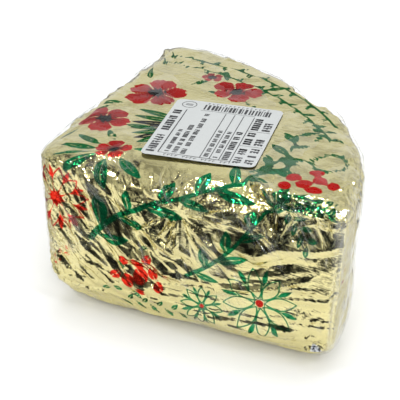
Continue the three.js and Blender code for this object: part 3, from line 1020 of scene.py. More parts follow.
# %% [markdown]
# ## The foil's mesh
#
# Besides the ink, the points carry where the foil is crushed, where a point lies off the front, and a
# small tab at the foot of the near corner, where the foil's bare silver side shows. Edges sharper
# than the crease angle stay sharp, so facets meet in clean lines.

# %% Make the foil
CRUSHED = [
    # strength, low corner, high corner, fade
    (1.35, (104, 78), (152, 104), 5),
    (0.45, (-36, 4), (24, 92), 12),
    (0.12, (118, 4), (158, 66), 10),
    (0.14, (10, 62), (112, 88), 8),
    (0.8, (133, 6), (150, 22), 5),
]
TAB_AT = (141.5, 13.0)
# heading of each side of the tab, and its distance from the tab's middle
TAB_SIDES = ((20, 3.0), (75, 1.6), (140, 3.4), (200, 2.2), (255, 2.2), (310, 2.0))
FOIL_CREASE_ANGLE = 14


def tab_distance(p, q):
    """Distance to the edge of the many-sided tab, below zero inside it."""
    sides = [(math.radians(heading), reach) for heading, reach in TAB_SIDES]
    return np.max([p * math.cos(turn) + q * math.sin(turn) - reach for turn, reach in sides], 0)


crushed = np.max([strength * zone_share(form["around"], form["girth"], low, high, fade)
                  for strength, low, high, fade in CRUSHED], 0)
foil_values = {layer: ink[layer].reshape(form["girth"].shape) for layer in LAYERS}
foil_values["petal_tone"] = petal_tone.reshape(form["girth"].shape)
foil_values["crushed"] = crushed
beside_front = np.maximum(1 - ease(form["around"], -24, -8), ease(form["around"], 152, 162))
foil_values["off_front"] = beside_front * (1 - form["topness"])
foil_values["bare"] = tab_distance(form["around"] - TAB_AT[0], form["girth"] - TAB_AT[1])
foil = skin_piece("foil_wrap", foil_at, foil_values, FOIL_CREASE_ANGLE)

# %% [markdown]
# ## The clear film
#
# The film is drawn over the foil: it touches the ridges and bridges the hollows, as a sheet laid on
# rough ground does. A shrinkwrap modifier would sink into every hollow, and a cloth simulation would
# take too long. A running maximum of the foil's height over the ring grid gives the bridging, and a
# few passes of averaging round it off.

# %% Bridge the hollows
BRIDGE_CELLS = 5
FILM_CLEARANCE = 0.2


def spread_max(values, cells):
    """The highest value within some cells on the grid, round the plan and up the rings."""
    result = values.copy()
    for shift in range(1, cells + 1):
        result = np.maximum(result, np.maximum(np.roll(values, shift, 1), np.roll(values, -shift, 1)))
    padded = np.pad(result, ((cells, cells), (0, 0)), mode="edge")
    return np.max([padded[k:k + len(values)] for k in range(2 * cells + 1)], 0)


def smoothed(values, passes):
    """Each value replaced by the mean of its four neighbours, some times over."""
    for _ in range(passes):
        padded = np.pad(values, ((1, 1), (0, 0)), mode="edge")
        values = (np.roll(values, 1, 1) + np.roll(values, -1, 1) + padded[:-2] + padded[2:]) / 4
    return values


touching = spread_max(foil_lift, 1)
tight_lift = smoothed(touching, 2)
loose_lift = smoothed(spread_max(foil_lift, BRIDGE_CELLS), 14)

# %% [markdown]
# ## Where the film is tight
#
# The film hugs the front, apart from the left part of its upper edge, and is looser elsewhere. Both
# fits are already worked out, so one mask blends them. On the rind the slack has shrunk into a few
# flaps that stand up, and these are paths, as the main folds are.

# %% Fit the film
RIND_FLAPS = [
    # height, reach, and a path in distance along the rind from the near corner and height
    (2.2, 5.0, [(100, 84), (118, 84)]),
    (2.4, 5.0, [(55, 84), (72, 84), (86, 84)]),
    (2.0, 6.0, [(6, 66), (8, 40), (10, 26)]),
]
x, y, z = np.moveaxis(form["at"], 2, 0)
slump_share = ease(z, 66, 76) * (1 - ease(x, 96, 112))
tightness = ease(-form["normal"][..., 1], 0.45, 0.75) * (1 - 0.8 * slump_share)
film_lift = loose_lift * (1 - tightness) + tight_lift * tightness
film_lift = np.maximum(film_lift, touching) + FILM_CLEARANCE
radial = np.einsum("...k,...k", form["normal"][..., :2], form["at"][..., :2]) / np.hypot(x, y)
on_rind = ease(radial, *FACING)
rindness = on_rind * ease(x, 60, 140)
film_lift += path_lift(np.arctan2(y, x) * WHEEL_RADIUS, z, RIND_FLAPS) * on_rind

# %% [markdown]
# ## The film's own wrinkles
#
# Shrunk film has wrinkles that the foil hasn't: upright ones on the rind, slanted ones on the front,
# and wide flat facets on top. The functions that crumpled the foil make these too. All heights are
# taken as above zero, because the film can't go down through the foil.

# %% Wrinkle the film
SIDE_WRINKLES = [
    scatter(51, 220, (150, 372), (2, 96), (90, 10), (10, 50), (1.0, 3.0), (0.1, 0.55)),
    scatter(52, 120, (-148, 150), (2, 92), (-44, 16), (8, 36), (1.0, 3.0), (0.05, 0.35)),
    scatter(56, 60, (122, 156), (4, 70), (24, 30), (5, 16), (1.0, 2.0), (0.1, 0.4)),
]
TOP_WRINKLES = scatter(54, 30, (0, 146), (-4, 150), (-20, 60), (20, 60), (0.8, 2.4), (0.1, 0.35))
side_wrinkle = facets(55, *SIDES.T, (-152, -10), (376, 112), 7.0, 2.6, -40, 0.25)
for zone in SIDE_WRINKLES:
    add_creases(side_wrinkle, *SIDES.T, zone)
top_wrinkle = facets(53, *SHEET.T, (-60, -60), (190, 190), 12.0, 1.9, 12, 0.75)
top_wrinkle += facets(57, *SHEET.T, (-60, -60), (190, 190), 4.5, 2.6, -25, 0.12)
add_creases(top_wrinkle, *SHEET.T, TOP_WRINKLES)
wrinkle = np.abs(side_wrinkle) * (1 - TOPNESS) + np.abs(top_wrinkle) * TOPNESS
wrinkle = wrinkle.reshape(form["girth"].shape)
film_lift = np.where(under_label < 0.5, film_lift, film_lift + wrinkle * under_label)
drawn_in = ease(z, 0, 14)
film_lift = film_lift * drawn_in + (touching + FILM_CLEARANCE) * (1 - drawn_in)

# %% [markdown]
# ## Pulls
#
# Here and there the tight film stands off the foil in a long narrow ridge and catches the light. The
# ridges are creases again. Their height is also kept on the points, so that the film's finish can be
# milkier there, a white that partly paints the ridge's highlight.

# %% Make the film
PULLS = [
    scatter(58, 13, (16, 66), (36, 82), (-57, 7), (12, 30), (0.8, 1.3), (0.6, 1.0), lean=(-0.7, 0.7),
            up=1),
    scatter(59, 26, (66, 150), (30, 84), (-40, 60), (6, 18), (0.8, 1.2), (0.4, 0.8), up=1),
]
FILM_CREASE_ANGLE = 12
pull = np.zeros(len(SIDES))
for zone in PULLS:
    add_creases(pull, *SIDES.T, zone)
pull = pull.reshape(form["girth"].shape) * (1 - form["topness"]) * under_label
film_lift += pull
film_at = form["at"] + form["normal"] * film_lift[..., None]
film_at[..., 2] = np.maximum(film_at[..., 2], 0.0)
film_values = {"looseness": 1 - tightness, "rindness": rindness, "topness": form["topness"], "pull": pull}
film = skin_piece("clear_film", film_at, film_values, FILM_CREASE_ANGLE)
print("film lift up to", round(float(film_lift.max()), 2), "mm")

# %% [markdown]
# ## Material helpers
#
# Every finish is built from nodes. A class with short ways to add a node keeps the recipes readable:
# a value or another node's output may be given for any socket.

# %% Node helpers
class Recipe:
    """A material's node tree with short ways to add to it."""

    def __init__(self, name):
        self.material = bpy.data.materials.new(name)
        self.material.use_nodes = True
        self.tree = self.material.node_tree
        self.tree.nodes.clear()
        self.output = self.tree.nodes.new("ShaderNodeOutputMaterial")

    def node(self, kind, settings=None, **inputs):
        node = self.tree.nodes.new("ShaderNode" + kind)
        for key, value in (settings or {}).items():
            setattr(node, key, value)
        for key, value in inputs.items():
            self.feed(node, key.replace("_", " "), value)
        return node

    def feed(self, node, key, value):
        """Gives a socket a value or a link. A key such as i2 means the socket's number."""
        socket = node.inputs[int(key[1:])] if key[0] == "i" and key[1:].isdigit() else node.inputs[key]
        if isinstance(value, bpy.types.NodeSocket):
            self.tree.links.new(value, socket)
        else:
            socket.default_value = value

    def finish(self, shader):
        self.tree.links.new(shader, self.output.inputs["Surface"])
        return self.material


# %% [markdown]
# ## Values and patterns
#
# Most of a finish is arithmetic on a few numbers: attributes from the mesh, noise, and ramps that
# turn one range into another. These helpers say each of them in one word. One of them turns a signed
# distance into ink coverage.

# %% Value helpers
class ValueRecipe(Recipe):
    """Adds arithmetic, attributes, noise and ramps."""

    def math(self, operation, first, second=0.0):
        return self.node("Math", {"operation": operation}, i0=first, i1=second).outputs[0]

    def times(self, first, *others):
        for other in others:
            first = self.math("MULTIPLY", first, other)
        return first

    def plus(self, first, *others):
        for other in others:
            first = self.math("ADD", first, other)
        return first

    def vector(self, operation, first, second=None):
        node = self.node("VectorMath", {"operation": operation}, i0=first)
        if second is not None:
            self.feed(node, "Scale" if operation == "SCALE" else "i1", second)
        return node.outputs[0]

    def ramp(self, value, low, high, low_value=0.0, high_value=1.0):
        return self.node("MapRange", i0=value, i1=low, i2=high, i3=low_value, i4=high_value).outputs[0]

    def mix(self, share, first, second):
        return self.node("Mix", {"data_type": "RGBA"}, i0=share, i6=first, i7=second).outputs[2]

    def attribute(self, name):
        return self.node("Attribute", {"attribute_name": name}).outputs["Fac"]

    def coverage(self, distance, half_soft, offset=0.0):
        """1 inside the ink, 0 outside, with an edge as soft as asked, in millimetres."""
        return self.node("MapRange", {"interpolation_type": "SMOOTHSTEP"}, i0=distance,
                         i1=offset + half_soft, i2=offset - half_soft).outputs[0]

    def position(self):
        return self.node("TexCoord").outputs["Object"]

    def noise(self, scale, detail=2.0, roughness=0.5, where=None, distortion=0.0):
        node = self.node("TexNoise", Scale=scale, Detail=detail, Roughness=roughness, Distortion=distortion)
        self.feed(node, "Vector", where if where is not None else self.position())
        return node.outputs["Fac"]

    def stretched(self, scale):
        return self.node("Mapping", i0=self.position(), i3=scale).outputs[0]


# %% [markdown]
# ## Creases finer than the mesh
#
# Foil and film both have creases too fine for a mesh. A noise bump looks like orange peel. The edges
# of long Voronoi cells are straight lines, as creases are, and giving each cell its own small lean
# makes it flash by itself, as a flat facet does.

# %% Crease helpers
CREASE_WANDER = 0.006
CREASE_SHARE = 0.16


class CreaseRecipe(ValueRecipe):
    """Adds networks of creases and cells that lean."""

    def laid(self, where, turn, scale):
        """A place turned and stretched for long cells; scale is in cells a metre."""
        return self.node("Mapping", {"vector_type": "TEXTURE"}, i0=where, i2=turn,
                         i3=tuple(1 / part for part in scale)).outputs[0]

    def crease_net(self, turn, scale):
        """Thin ridge lines between long flat cells, turned and stretched as asked."""
        wander = self.node("TexNoise", Scale=60.0, Detail=2.0)
        self.feed(wander, "Vector", self.position())
        pushed = self.node("VectorMath", {"operation": "MULTIPLY_ADD"}, i0=wander.outputs["Color"],
                           i1=(CREASE_WANDER,) * 3, i2=self.position()).outputs[0]
        cells = self.node("TexVoronoi", {"feature": "DISTANCE_TO_EDGE"}, Scale=1.0)
        self.feed(cells, "Vector", self.laid(pushed, turn, scale))
        return self.ramp(cells.outputs["Distance"], 0.0, CREASE_SHARE, 1.0, 0.0)

    def cells(self, turn, scale):
        """A random colour in each straight-edged cell, turned and stretched as asked."""
        cells = self.node("TexVoronoi", Scale=1.0)
        self.feed(cells, "Vector", self.laid(self.position(), turn, scale))
        return cells.outputs["Color"]

    def cell_value(self, scale):
        return self.node("SeparateColor", i0=self.cells((0, 0, 0), scale)).outputs[0]

    def cell_lean(self, turn, scale, strength):
        """A sideways push for the normal, constant over each cell."""
        centred = self.vector("SUBTRACT", self.cells(turn, scale), (0.5, 0.5, 0.5))
        return self.vector("SCALE", centred, strength)


# %% [markdown]
# ## The foil's colours
#
# Laminated foil is metal all through: what looks cream is the metal mirroring white, and what looks
# black is the same metal mirroring something dark. So its contrast comes from the creases and the
# studio, not from paint, and the lacquers only tint the metal. Layers are laid one over another, and
# where red and near-black overlap, the heart of a flower is darkest.

# %% Foil colours
GOLD = (0.67, 0.59, 0.265, 1)
PALE_GOLD = (0.73, 0.67, 0.36, 1)
LEAF_GREEN = (0.012, 0.25, 0.09, 1)
DEEP_GREEN = (0.006, 0.16, 0.055, 1)
POPPY_RED = (0.70, 0.03, 0.014, 1)
DARK_RED = (0.16, 0.004, 0.006, 1)
INK_BLACK = (0.02, 0.028, 0.024, 1)
SILVER = (0.66, 0.68, 0.72, 1)
EDGE_SOFT = 0.16
GREEN_LINE_HALF = 0.36
RED_LINE_HALF = 0.42


def solid_share(recipe, layer):
    """1 where a layer is printed solid."""
    return recipe.coverage(recipe.attribute(layer), EDGE_SOFT)


def line_share(recipe, layer, half):
    """1 along a layer's outline, to half the line's width on either side."""
    distance = recipe.math("ABSOLUTE", recipe.attribute(layer))
    return recipe.coverage(distance, EDGE_SOFT, half)


def foil_colour(recipe):
    """The printed metal's colour, and how much of it is inked."""
    colour = recipe.mix(recipe.noise(26.0, 3.0), GOLD, PALE_GOLD)
    green = recipe.mix(recipe.noise(60.0, 2.0), LEAF_GREEN, DEEP_GREEN)
    red = recipe.mix(recipe.attribute("petal_tone"), DARK_RED, POPPY_RED)
    dark_share, red_share = solid_share(recipe, "dark_area"), solid_share(recipe, "red_area")
    layers = [(dark_share, INK_BLACK),
              (solid_share(recipe, "green_area"), green),
              (line_share(recipe, "green_line", GREEN_LINE_HALF), green),
              (red_share, red),
              (line_share(recipe, "red_line", RED_LINE_HALF), POPPY_RED),
              (recipe.times(red_share, dark_share), INK_BLACK)]
    inked = 0.0
    for share, tint in layers:
        colour = recipe.mix(share, colour, tint)
        inked = recipe.math("MAXIMUM", share, inked)
    return recipe.mix(solid_share(recipe, "bare"), colour, SILVER), inked


# %% [markdown]
# ## The foil's finish
#
# The shader is a metallic Principled with a low roughness. Fine creases are a bump. Small cells that
# lean at random are added to the normal: crumbs where the foil is crushed, panes on the sides that
# face away, and slivers elsewhere.

# %% Foil material
def foil_normal(recipe):
    """The surface direction with fine creases and leaning cells."""
    crushed = recipe.attribute("crushed")
    slanted = recipe.crease_net((0, 0.9, 0), (90, 300, 420))
    level = recipe.crease_net((0, 0.05, 0), (70, 260, 460))
    crumbled = recipe.crease_net((0.6, 0.4, 0.3), (420, 520, 640))
    patchy = recipe.ramp(recipe.noise(38.0, 3.0), 0.42, 0.6)
    lines = recipe.plus(recipe.times(slanted, patchy), recipe.times(level, 0.6))
    height = recipe.plus(lines, recipe.times(crumbled, recipe.ramp(crushed, 0, 1, 0.0, 0.8)))
    bump = recipe.node("Bump", Strength=0.4, Distance=0.00012, Height=height)
    crumb_share = recipe.ramp(crushed, 0, 1.35, 0.0, 1.0)
    sliver_share = recipe.ramp(recipe.noise(30.0, 2.0), 0.45, 0.65, 0.01, 0.10)
    pane_share = recipe.ramp(recipe.attribute("off_front"), 0, 1, 0.0, 0.3)
    normal = bump.outputs[0]
    for turn, scale, strength in (((0.6, 0.4, 0.3), (800, 800, 800), crumb_share),
                                  ((0, 0.8, 0), (100, 380, 420), sliver_share),
                                  ((0.3, 0.5, 0.2), (120, 120, 150), pane_share)):
        normal = recipe.vector("ADD", normal, recipe.cell_lean(turn, scale, strength))
    return recipe.vector("NORMALIZE", normal)


def foil_finish():
    recipe = CreaseRecipe("printed_gold_foil")
    colour, inked = foil_colour(recipe)
    shader = recipe.node("BsdfPrincipled", Metallic=recipe.ramp(inked, 0, 1, 1.0, 0.9), Base_Color=colour,
                         Roughness=recipe.ramp(recipe.noise(90.0, 3.0), 0.3, 0.7, 0.09, 0.15),
                         Specular_Tint=recipe.mix(inked, (1, 1, 1, 1), (0.1, 0.08, 0.08, 1)),
                         Normal=foil_normal(recipe))
    return recipe.finish(shader.outputs[0])


foil.data.materials.append(foil_finish())

# %% [markdown]
# ## Milk and painted sheen in the film
#
# Clear film shows in two ways. One is a thin milky veil where it has been stretched or lies double,
# strongest on the rind. It is a share of white diffuse mixed into clear. This white is partly painted
# light: the white streaks on the front and the haze over the foil stand in for the film's highlights
# and its reflection of soft light. The share is the sum of a faint cloudy veil, the creases on the
# front, the creases on the rind and the pulls.

# %% Milk and painted sheen in the film
def film_places(recipe):
    """How far a place is on the front, stands off the foil, or is pulled into a ridge."""
    on_front = recipe.times(recipe.ramp(recipe.attribute("rindness"), 0, 1, 1, 0),
                            recipe.ramp(recipe.attribute("topness"), 0, 1, 1, 0))
    standing_off = recipe.ramp(recipe.noise(30.0, 3.0, 0.6, distortion=0.4), 0.53, 0.62)
    pulled = recipe.ramp(recipe.attribute("pull"), 0.15, 0.6)
    return on_front, standing_off, pulled


def film_milk_and_painted_sheen(recipe, slanted, upright, places):
    """The share of white in the film: partly its own milkiness, partly painted highlight and haze."""
    on_front, standing_off, pulled = places
    cloud = recipe.noise(9.0, 3.0)
    streaks = recipe.noise(14.0, 5.0, 0.62, recipe.stretched((1.0, 3.2, 2.0)), 0.6)
    # a faint cloudy veil, partly painted haze that stands in for the film's reflection of soft light
    veil = recipe.times(recipe.ramp(streaks, 0.50, 0.72), recipe.ramp(cloud, 0.35, 0.65, 0.2, 1.0),
                        recipe.ramp(recipe.attribute("looseness"), 0, 1, 0.006, 0.02))
    # white along the slanted creases on the front where the film stands off: painted highlights
    front_painted_highlight = recipe.times(recipe.times(slanted, standing_off), recipe.times(on_front, 0.09))
    # white on the rind: partly the film's own milkiness, partly painted sheen
    rind_milk_and_painted_sheen = recipe.plus(recipe.times(upright, 0.12), recipe.ramp(cloud, 0.3, 0.7, 0.03, 0.12))
    rind_milk_and_painted_sheen = recipe.times(rind_milk_and_painted_sheen, recipe.attribute("rindness"))
    return recipe.plus(veil, recipe.plus(front_painted_highlight, rind_milk_and_painted_sheen), recipe.times(pulled, 0.06))


# %% [markdown]
# ## Gloss on the film
#
# The other way is white glints. A Fresnel share of gloss gives them, stronger where the film stands
# off the foil. Glass would bend the light and cost much more time, and film this thin bends nothing,
# so the body is a Transparent shader. Seen from inside, the Fresnel index is turned upside down.

# %% Film material
FILM_INDEX = 1.5


def film_gloss(recipe, places):
    """How much of the Fresnel reflection shows."""
    standing_off, pulled = places[1:]
    tight_share = recipe.ramp(standing_off, 0, 1, 0.02, 0.65)
    glare = recipe.plus(recipe.cell_value((90, 70, 60)), recipe.cell_value((45, 80, 60)))
    loose_share = recipe.times(recipe.attribute("looseness"), recipe.ramp(glare, 0.95, 1.2, 0.15, 0.95))
    share = recipe.math("MAXIMUM", tight_share, loose_share)
    return recipe.math("MAXIMUM", share, recipe.times(pulled, 2.0))


def film_finish():
    recipe = CreaseRecipe("clear_shrink_film")
    slanted = recipe.crease_net((0, 0.85, 0), (55, 260, 330))
    upright = recipe.crease_net((0.04, 0.03, 0), (230, 230, 26))
    places = film_places(recipe)
    clear = recipe.node("BsdfTransparent", Color=(1, 1, 1, 1)).outputs[0]
    # white diffuse mixed into clear: the film's own milkiness, and painted highlight and haze
    milk_and_painted_sheen = recipe.node("BsdfDiffuse", Color=(0.86, 0.87, 0.85, 1)).outputs[0]
    milk_and_painted_sheen_share = film_milk_and_painted_sheen(recipe, slanted, upright, places)
    body = recipe.node("MixShader", i0=milk_and_painted_sheen_share, i1=clear, i2=milk_and_painted_sheen).outputs[0]

    on_front, standing_off = places[:2]
    loose_front = recipe.times(standing_off, on_front)
    height = recipe.plus(recipe.times(slanted, loose_front),
                         recipe.times(upright, recipe.attribute("rindness")),
                         recipe.times(recipe.noise(34.0, 2.0), 0.5))
    bump = recipe.node("Bump", Strength=0.5, Distance=0.0003, Height=height).outputs[0]
    lean = recipe.cell_lean((0, 0.8, 0), (160, 300, 380), recipe.ramp(loose_front, 0, 1, 0.04, 0.35))
    slanting = recipe.vector("NORMALIZE", recipe.vector("ADD", bump, lean))
    gloss = recipe.node("BsdfGlossy", Color=(1, 1, 1, 1), Roughness=0.05, Normal=slanting).outputs[0]
    inside = recipe.node("NewGeometry").outputs["Backfacing"]
    index = recipe.ramp(inside, 0.0, 1.0, FILM_INDEX, 1 / FILM_INDEX)
    edge = recipe.node("Fresnel", IOR=index, Normal=bump).outputs[0]
    share = recipe.times(edge, film_gloss(recipe, places))
    return recipe.finish(recipe.node("MixShader", i0=share, i1=body, i2=gloss).outputs[0])


film.data.materials.append(film_finish())

# %% [markdown]
# ## The weight label
#
# A slip of smooth white paper is stuck on the film. It is too stiff to follow the wrinkles, so it
# lies nearly flat, with its near edge standing a little off. The paper is one thin closed sheet and
# the print is real ink patches just proud of it, which stay crisp however close one looks. A shop
# scale prints a bar code, rules and columns of type. Here the type is made of plain dummy marks.

# %% Places on the label
PAPER_THICKNESS = 0.14
PAPER_LIFT = 0.32
INK_LIFT = 0.05


def label_height(across, down):
    """How high the label lies over the top, in millimetres."""
    near_edge = ease(down, 0.75 * LABEL_LENGTH, LABEL_LENGTH)
    wave = 0.18 * np.sin(across / 8.0 + 0.6) * near_edge
    return PAPER_LIFT + wave + 0.12 * near_edge


def on_label(across, down, lift=0.0):
    """From label coordinates to the wedge's own."""
    cos, sin = math.cos(LABEL_TURN), math.sin(LABEL_TURN)
    x = LABEL_CORNER[0] + across * cos + down * sin
    y = LABEL_CORNER[1] + across * sin - down * cos
    return np.column_stack([x, y, HEIGHT + label_height(across, down) + lift])


# %% [markdown]
# ## The paper
#
# The sheet is made of rings, like the skins: its rounded outline, shrunk step by step to the middle,
# once for the underside and once for the face. A plane with a Solidify modifier would do as well, but
# here the ring functions are already at hand.

# %% Label sheet
CORNER_STEPS = 8
OUTLINE_SPACING = 3
PAPER_RINGS = 12


def label_outline():
    """Rounded rectangle, clockwise from above, in label coordinates."""
    radius = LABEL_CORNER_RADIUS
    right, far = LABEL_WIDTH - radius, LABEL_LENGTH - radius
    spots = []
    for cx, cy, start in ((right, radius, -90), (right, far, 0), (radius, far, 90), (radius, radius, 180)):
        for angle in np.radians(np.linspace(start, start + 90, CORNER_STEPS)):
            spots.append((cx + radius * math.cos(angle), cy + radius * math.sin(angle)))
    corners = np.array(spots + spots[:1])
    points = []
    for corner, following in zip(corners[:-1], corners[1:]):
        parts = max(1, round(np.hypot(*(following - corner)) / OUTLINE_SPACING))
        points += [corner + (following - corner) * share for share in np.arange(0, 1, 1 / parts)]
    return np.array(points)


outline = label_outline()
centre = np.array([LABEL_WIDTH / 2, LABEL_LENGTH / 2])
shares = np.linspace(0.04, 1, PAPER_RINGS)
under = [on_label(*(centre + (outline - centre) * share).T, -PAPER_THICKNESS) for share in shares]
over = [on_label(*(centre + (outline - centre) * share).T) for share in shares[::-1]]
paper_at = np.array(under + over)[:, ::-1]
count = paper_at.shape[1]
middle_low, middle_high = on_label(*centre[:, None], -PAPER_THICKNESS), on_label(*centre[:, None])
points = np.concatenate([paper_at.reshape(-1, 3), middle_low, middle_high])
paper = make_piece("label_paper", points, grid_faces(len(paper_at), count),
                   pole_fans(len(paper_at), count), smooth=False)

# %% [markdown]
# ## Dummy type
#
# All the print is made of small rectangles, gathered in one list first. The scale's type is short
# strokes on a small grid, switched on and off at random: it has the grey of real type, and no letter
# can be read in it. A text object would need real words.

# %% Dummy type
BOLD_STROKE = 0.92
FINE_STROKE = 0.6
MARK_WIDTH = 0.62
BLANK_SHARE = 0.08
patches = []
label_random = np.random.default_rng(77)


def patch(left, top, right, bottom):
    patches.append((left, top, right, bottom))


def dummy_mark(across, down, size, width, bold):
    """One made-up character cell, read from the right: strokes on a small grid, no real letter."""
    stroke = BOLD_STROKE if bold else FINE_STROKE
    pattern = label_random.integers(0, 2, 5)
    patch(across, down, across + size, down + stroke)
    if pattern[0]:
        patch(across, down + width - stroke, across + size, down + width)
    if pattern[1]:
        patch(across, down, across + stroke, down + width)
    if pattern[2]:
        patch(across + size - stroke, down, across + size, down + width)
    if pattern[3] or not pattern[0]:
        patch(across + size * 0.42, down, across + size * 0.42 + stroke, down + width * 0.9)


def type_column(across, start, end, size, bold=False, gap_every=7):
    """A line of dummy marks that runs away from the near edge."""
    width = size * MARK_WIDTH
    down, number = end, 0
    while down - width > start:
        number += 1
        if number % gap_every and label_random.uniform() > BLANK_SHARE:
            dummy_mark(across, down - width, size, width * 0.74, bold)
        down -= width


def rule_line(left, top, right, bottom, weight=0.38):
    if right - left > bottom - top:
        patch(left, top - weight / 2, right, top + weight / 2)
    else:
        patch(left - weight / 2, top, left + weight / 2, bottom)


# %% [markdown]
# ## The label's layout
#
# A scale's label is a form: rules divide it into fields, with small headings and bold figures in
# them. Numbers here are millimetres across the label and down its length.

# %% Columns of type and rules
type_column(1.8, 12, 61.5, 3.9, bold=True, gap_every=9)
rule_line(7.6, 11.5, 7.6, 60.6, 0.45)
type_column(10.0, 34, 59, 2.0)
type_column(13.6, 24, 59.5, 2.3, gap_every=6)
type_column(17.4, 13, 59.5, 2.3, gap_every=5)
for rule_at in (27.0, 31.4, 35.8):
    rule_line(rule_at, 11.5, rule_at, 60.6)
rule_line(41.0, 11.5, 41.0, 62.5)
type_column(28.2, 30, 59, 2.1, gap_every=4)
type_column(32.6, 30, 59, 2.1, gap_every=4)
type_column(36.8, 26, 60, 2.9, bold=True, gap_every=6)
for start, end in ((44.5, 62), (28, 42), (11.5, 26)):
    type_column(42.2, start, end, 3.6, bold=True, gap_every=9)
    type_column(47.4, start, end, 3.9, bold=True, gap_every=5)
rule_line(41.0, 43.2, 52.0, 43.2, 0.2)
rule_line(41.0, 27.0, 52.0, 27.0, 0.2)
rule_line(14.0, 10.4, 41.0, 10.4, 0.2)
rule_line(7.6, 60.6, 41.0, 60.6, 0.28)

# %% Small marks, bar code and ring
EDGE_MARKS = 18
BAR_CODE = (15.0, 47.5)
CODE_MARKS = 15
for k in range(EDGE_MARKS):
    if k % 5:
        across = 9.0 + k * 1.75
        patch(across, 61.6, across + 0.4, 62.9)
        patch(across, 61.6, across + 1.1, 61.9)
# a made-up bar code, with a row of small marks along its far side
across = BAR_CODE[0]
while across < BAR_CODE[1]:
    bar = label_random.choice([0.45, 0.8, 1.2])
    patch(across, 3.6, across + bar, 9.2)
    across += bar + label_random.choice([0.45, 0.6, 0.9])
for k in range(CODE_MARKS):
    across = 16.0 + k * 2.1
    patch(across, 1.6, across + 0.9, 1.95)
    patch(across, 1.6, across + 0.3, 2.9)
# a plain ring with two short rules in it, in the far left corner
RING_AT = (7.2, 5.4)
RING_RADIUS = 3.7
RING_WIDTH = 0.35
RING_STEPS = 40
angles = np.linspace(0, FULL_TURN, RING_STEPS, endpoint=False)
ring_points = []
for radius in (RING_RADIUS, RING_RADIUS - RING_WIDTH):
    across, down = RING_AT[0] + radius * np.cos(angles), RING_AT[1] + radius * np.sin(angles)
    ring_points += [on_label(across, down, lift) for lift in (INK_LIFT, 0.0)]
for down in (4.6, 5.9):
    patch(5.4, down, 9.0, down + 0.5)
print("patches of ink on the label:", len(patches))

# %% [markdown]
# ## From patches to ink
#
# Each rectangle becomes a very low box, and the ring a low hoop, so that the ink is closed and stands
# a hair proud of the paper. One mesh holds them all, because the ink moves as one.

# %% Label print
boxes, box_faces = [], []
BOX = ((0, 1, 2, 3), (7, 6, 5, 4), (4, 5, 1, 0), (5, 6, 2, 1), (6, 7, 3, 2), (7, 4, 0, 3))
for number, (left, top, right, bottom) in enumerate(patches):
    across = np.array([left, right, right, left], float)
    down = np.array([bottom, bottom, top, top], float)
    boxes += [on_label(across, down, INK_LIFT), on_label(across, down, 0.0)]
    box_faces += [[number * 8 + k for k in face] for face in BOX]
start = len(patches) * 8
corners = [start + side * RING_STEPS for side in range(4)]
for k in range(RING_STEPS):
    after = (k + 1) % RING_STEPS
    for first, second in ((0, 2), (2, 3), (3, 1), (1, 0)):
        box_faces.append([corners[first] + k, corners[second] + k,
                          corners[second] + after, corners[first] + after])
label_print = make_piece("label_print", np.concatenate(boxes + ring_points), box_faces, smooth=False)

# %% [markdown]
# ## Paper and ink
#
# Label paper is white with a faint grey-blue cast, smooth but not glossy. Its colour is set a good deal
# darker than white, which paints the shade the label lies in. Its fibres show as the slightest
# mottle. The thermal print is matt black, a little uneven where the head lifted.

# %% Label materials
def shaded_paper_finish():
    recipe = ValueRecipe("label_paper_grey_painted_shade")
    mottle = recipe.noise(400.0, 4.0, 0.6)
    # white paper darkened to a grey: painted shade, with a faint grey-blue cast
    colour = recipe.mix(mottle, (0.43, 0.445, 0.445, 1), (0.465, 0.48, 0.475, 1))
    bump = recipe.node("Bump", Strength=0.15, Distance=0.00005, Height=mottle)
    shader = recipe.node("BsdfPrincipled", Base_Color=colour, Roughness=0.5, Normal=bump.outputs[0])
    return recipe.finish(shader.outputs[0])


def ink_finish():
    recipe = ValueRecipe("thermal_print_black")
    colour = recipe.mix(recipe.noise(500.0, 3.0), (0.012, 0.012, 0.014, 1), (0.05, 0.05, 0.055, 1))
    shader = recipe.node("BsdfPrincipled", Base_Color=colour, Roughness=0.55)
    return recipe.finish(shader.outputs[0])


paper.data.materials.append(shaded_paper_finish())
label_print.data.materials.append(ink_finish())

# %% [markdown]
# ## Tie the pieces to the frame
#
# The pack is one body. Foil and film stand for the wrapped solid, and paper and print for the
# label's plate.

# %% Ride and replace
for piece, node, slot_name in ((foil, "wrapped_wedge", "foil"), (film, "wrapped_wedge", "clear_film"),
                               (paper, "label", "label_paper"), (label_print, "label", "label_ink")):
    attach(piece, "root")
    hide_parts(node)

# %% [markdown]
# ## The floor
#
# Foil shows its surroundings, so the studio matters as much as the material. The floor is plain white
# paper. It has no gloss of its own, because at a low angle gloss would mirror the dark cards into it.

# %% Floor
def floor_finish():
    recipe = ValueRecipe("floor_white")
    colour = recipe.mix(recipe.noise(3.0, 2.0), (0.86, 0.86, 0.86, 1), (0.88, 0.88, 0.88, 1))
    shader = recipe.node("BsdfPrincipled", Base_Color=colour, Roughness=1.0, Specular_IOR_Level=0.0)
    return recipe.finish(shader.outputs[0])


def flat_card(name, corners, height):
    """One face. A corner with only two numbers lies at the height."""
    mesh = bpy.data.meshes.new(name)
    mesh.from_pydata([(*corner, height)[:3] for corner in corners], [], [range(len(corners))])
    card = bpy.data.objects.new(name, mesh)
    bpy.context.scene.collection.objects.link(card)
    return card


FLOOR_REACH = 3.0
low, high = -FLOOR_REACH, FLOOR_REACH
floor = flat_card("floor", [(low, low), (high, low), (high, high), (low, high)], 0.0)
floor.data.materials.append(floor_finish())

# %% [markdown]
# ## Cards that only reflections see
#
# In a studio, black and grey cards are set round a shiny object to shape what it mirrors. Here they
# glow by themselves and are hidden from the camera, so they change the reflections and nothing else.
# Their blotches break the reflections up, as the things that stand about in a studio do. They fade in
# at the edge, because a hard card edge would show as a straight line in every crease.

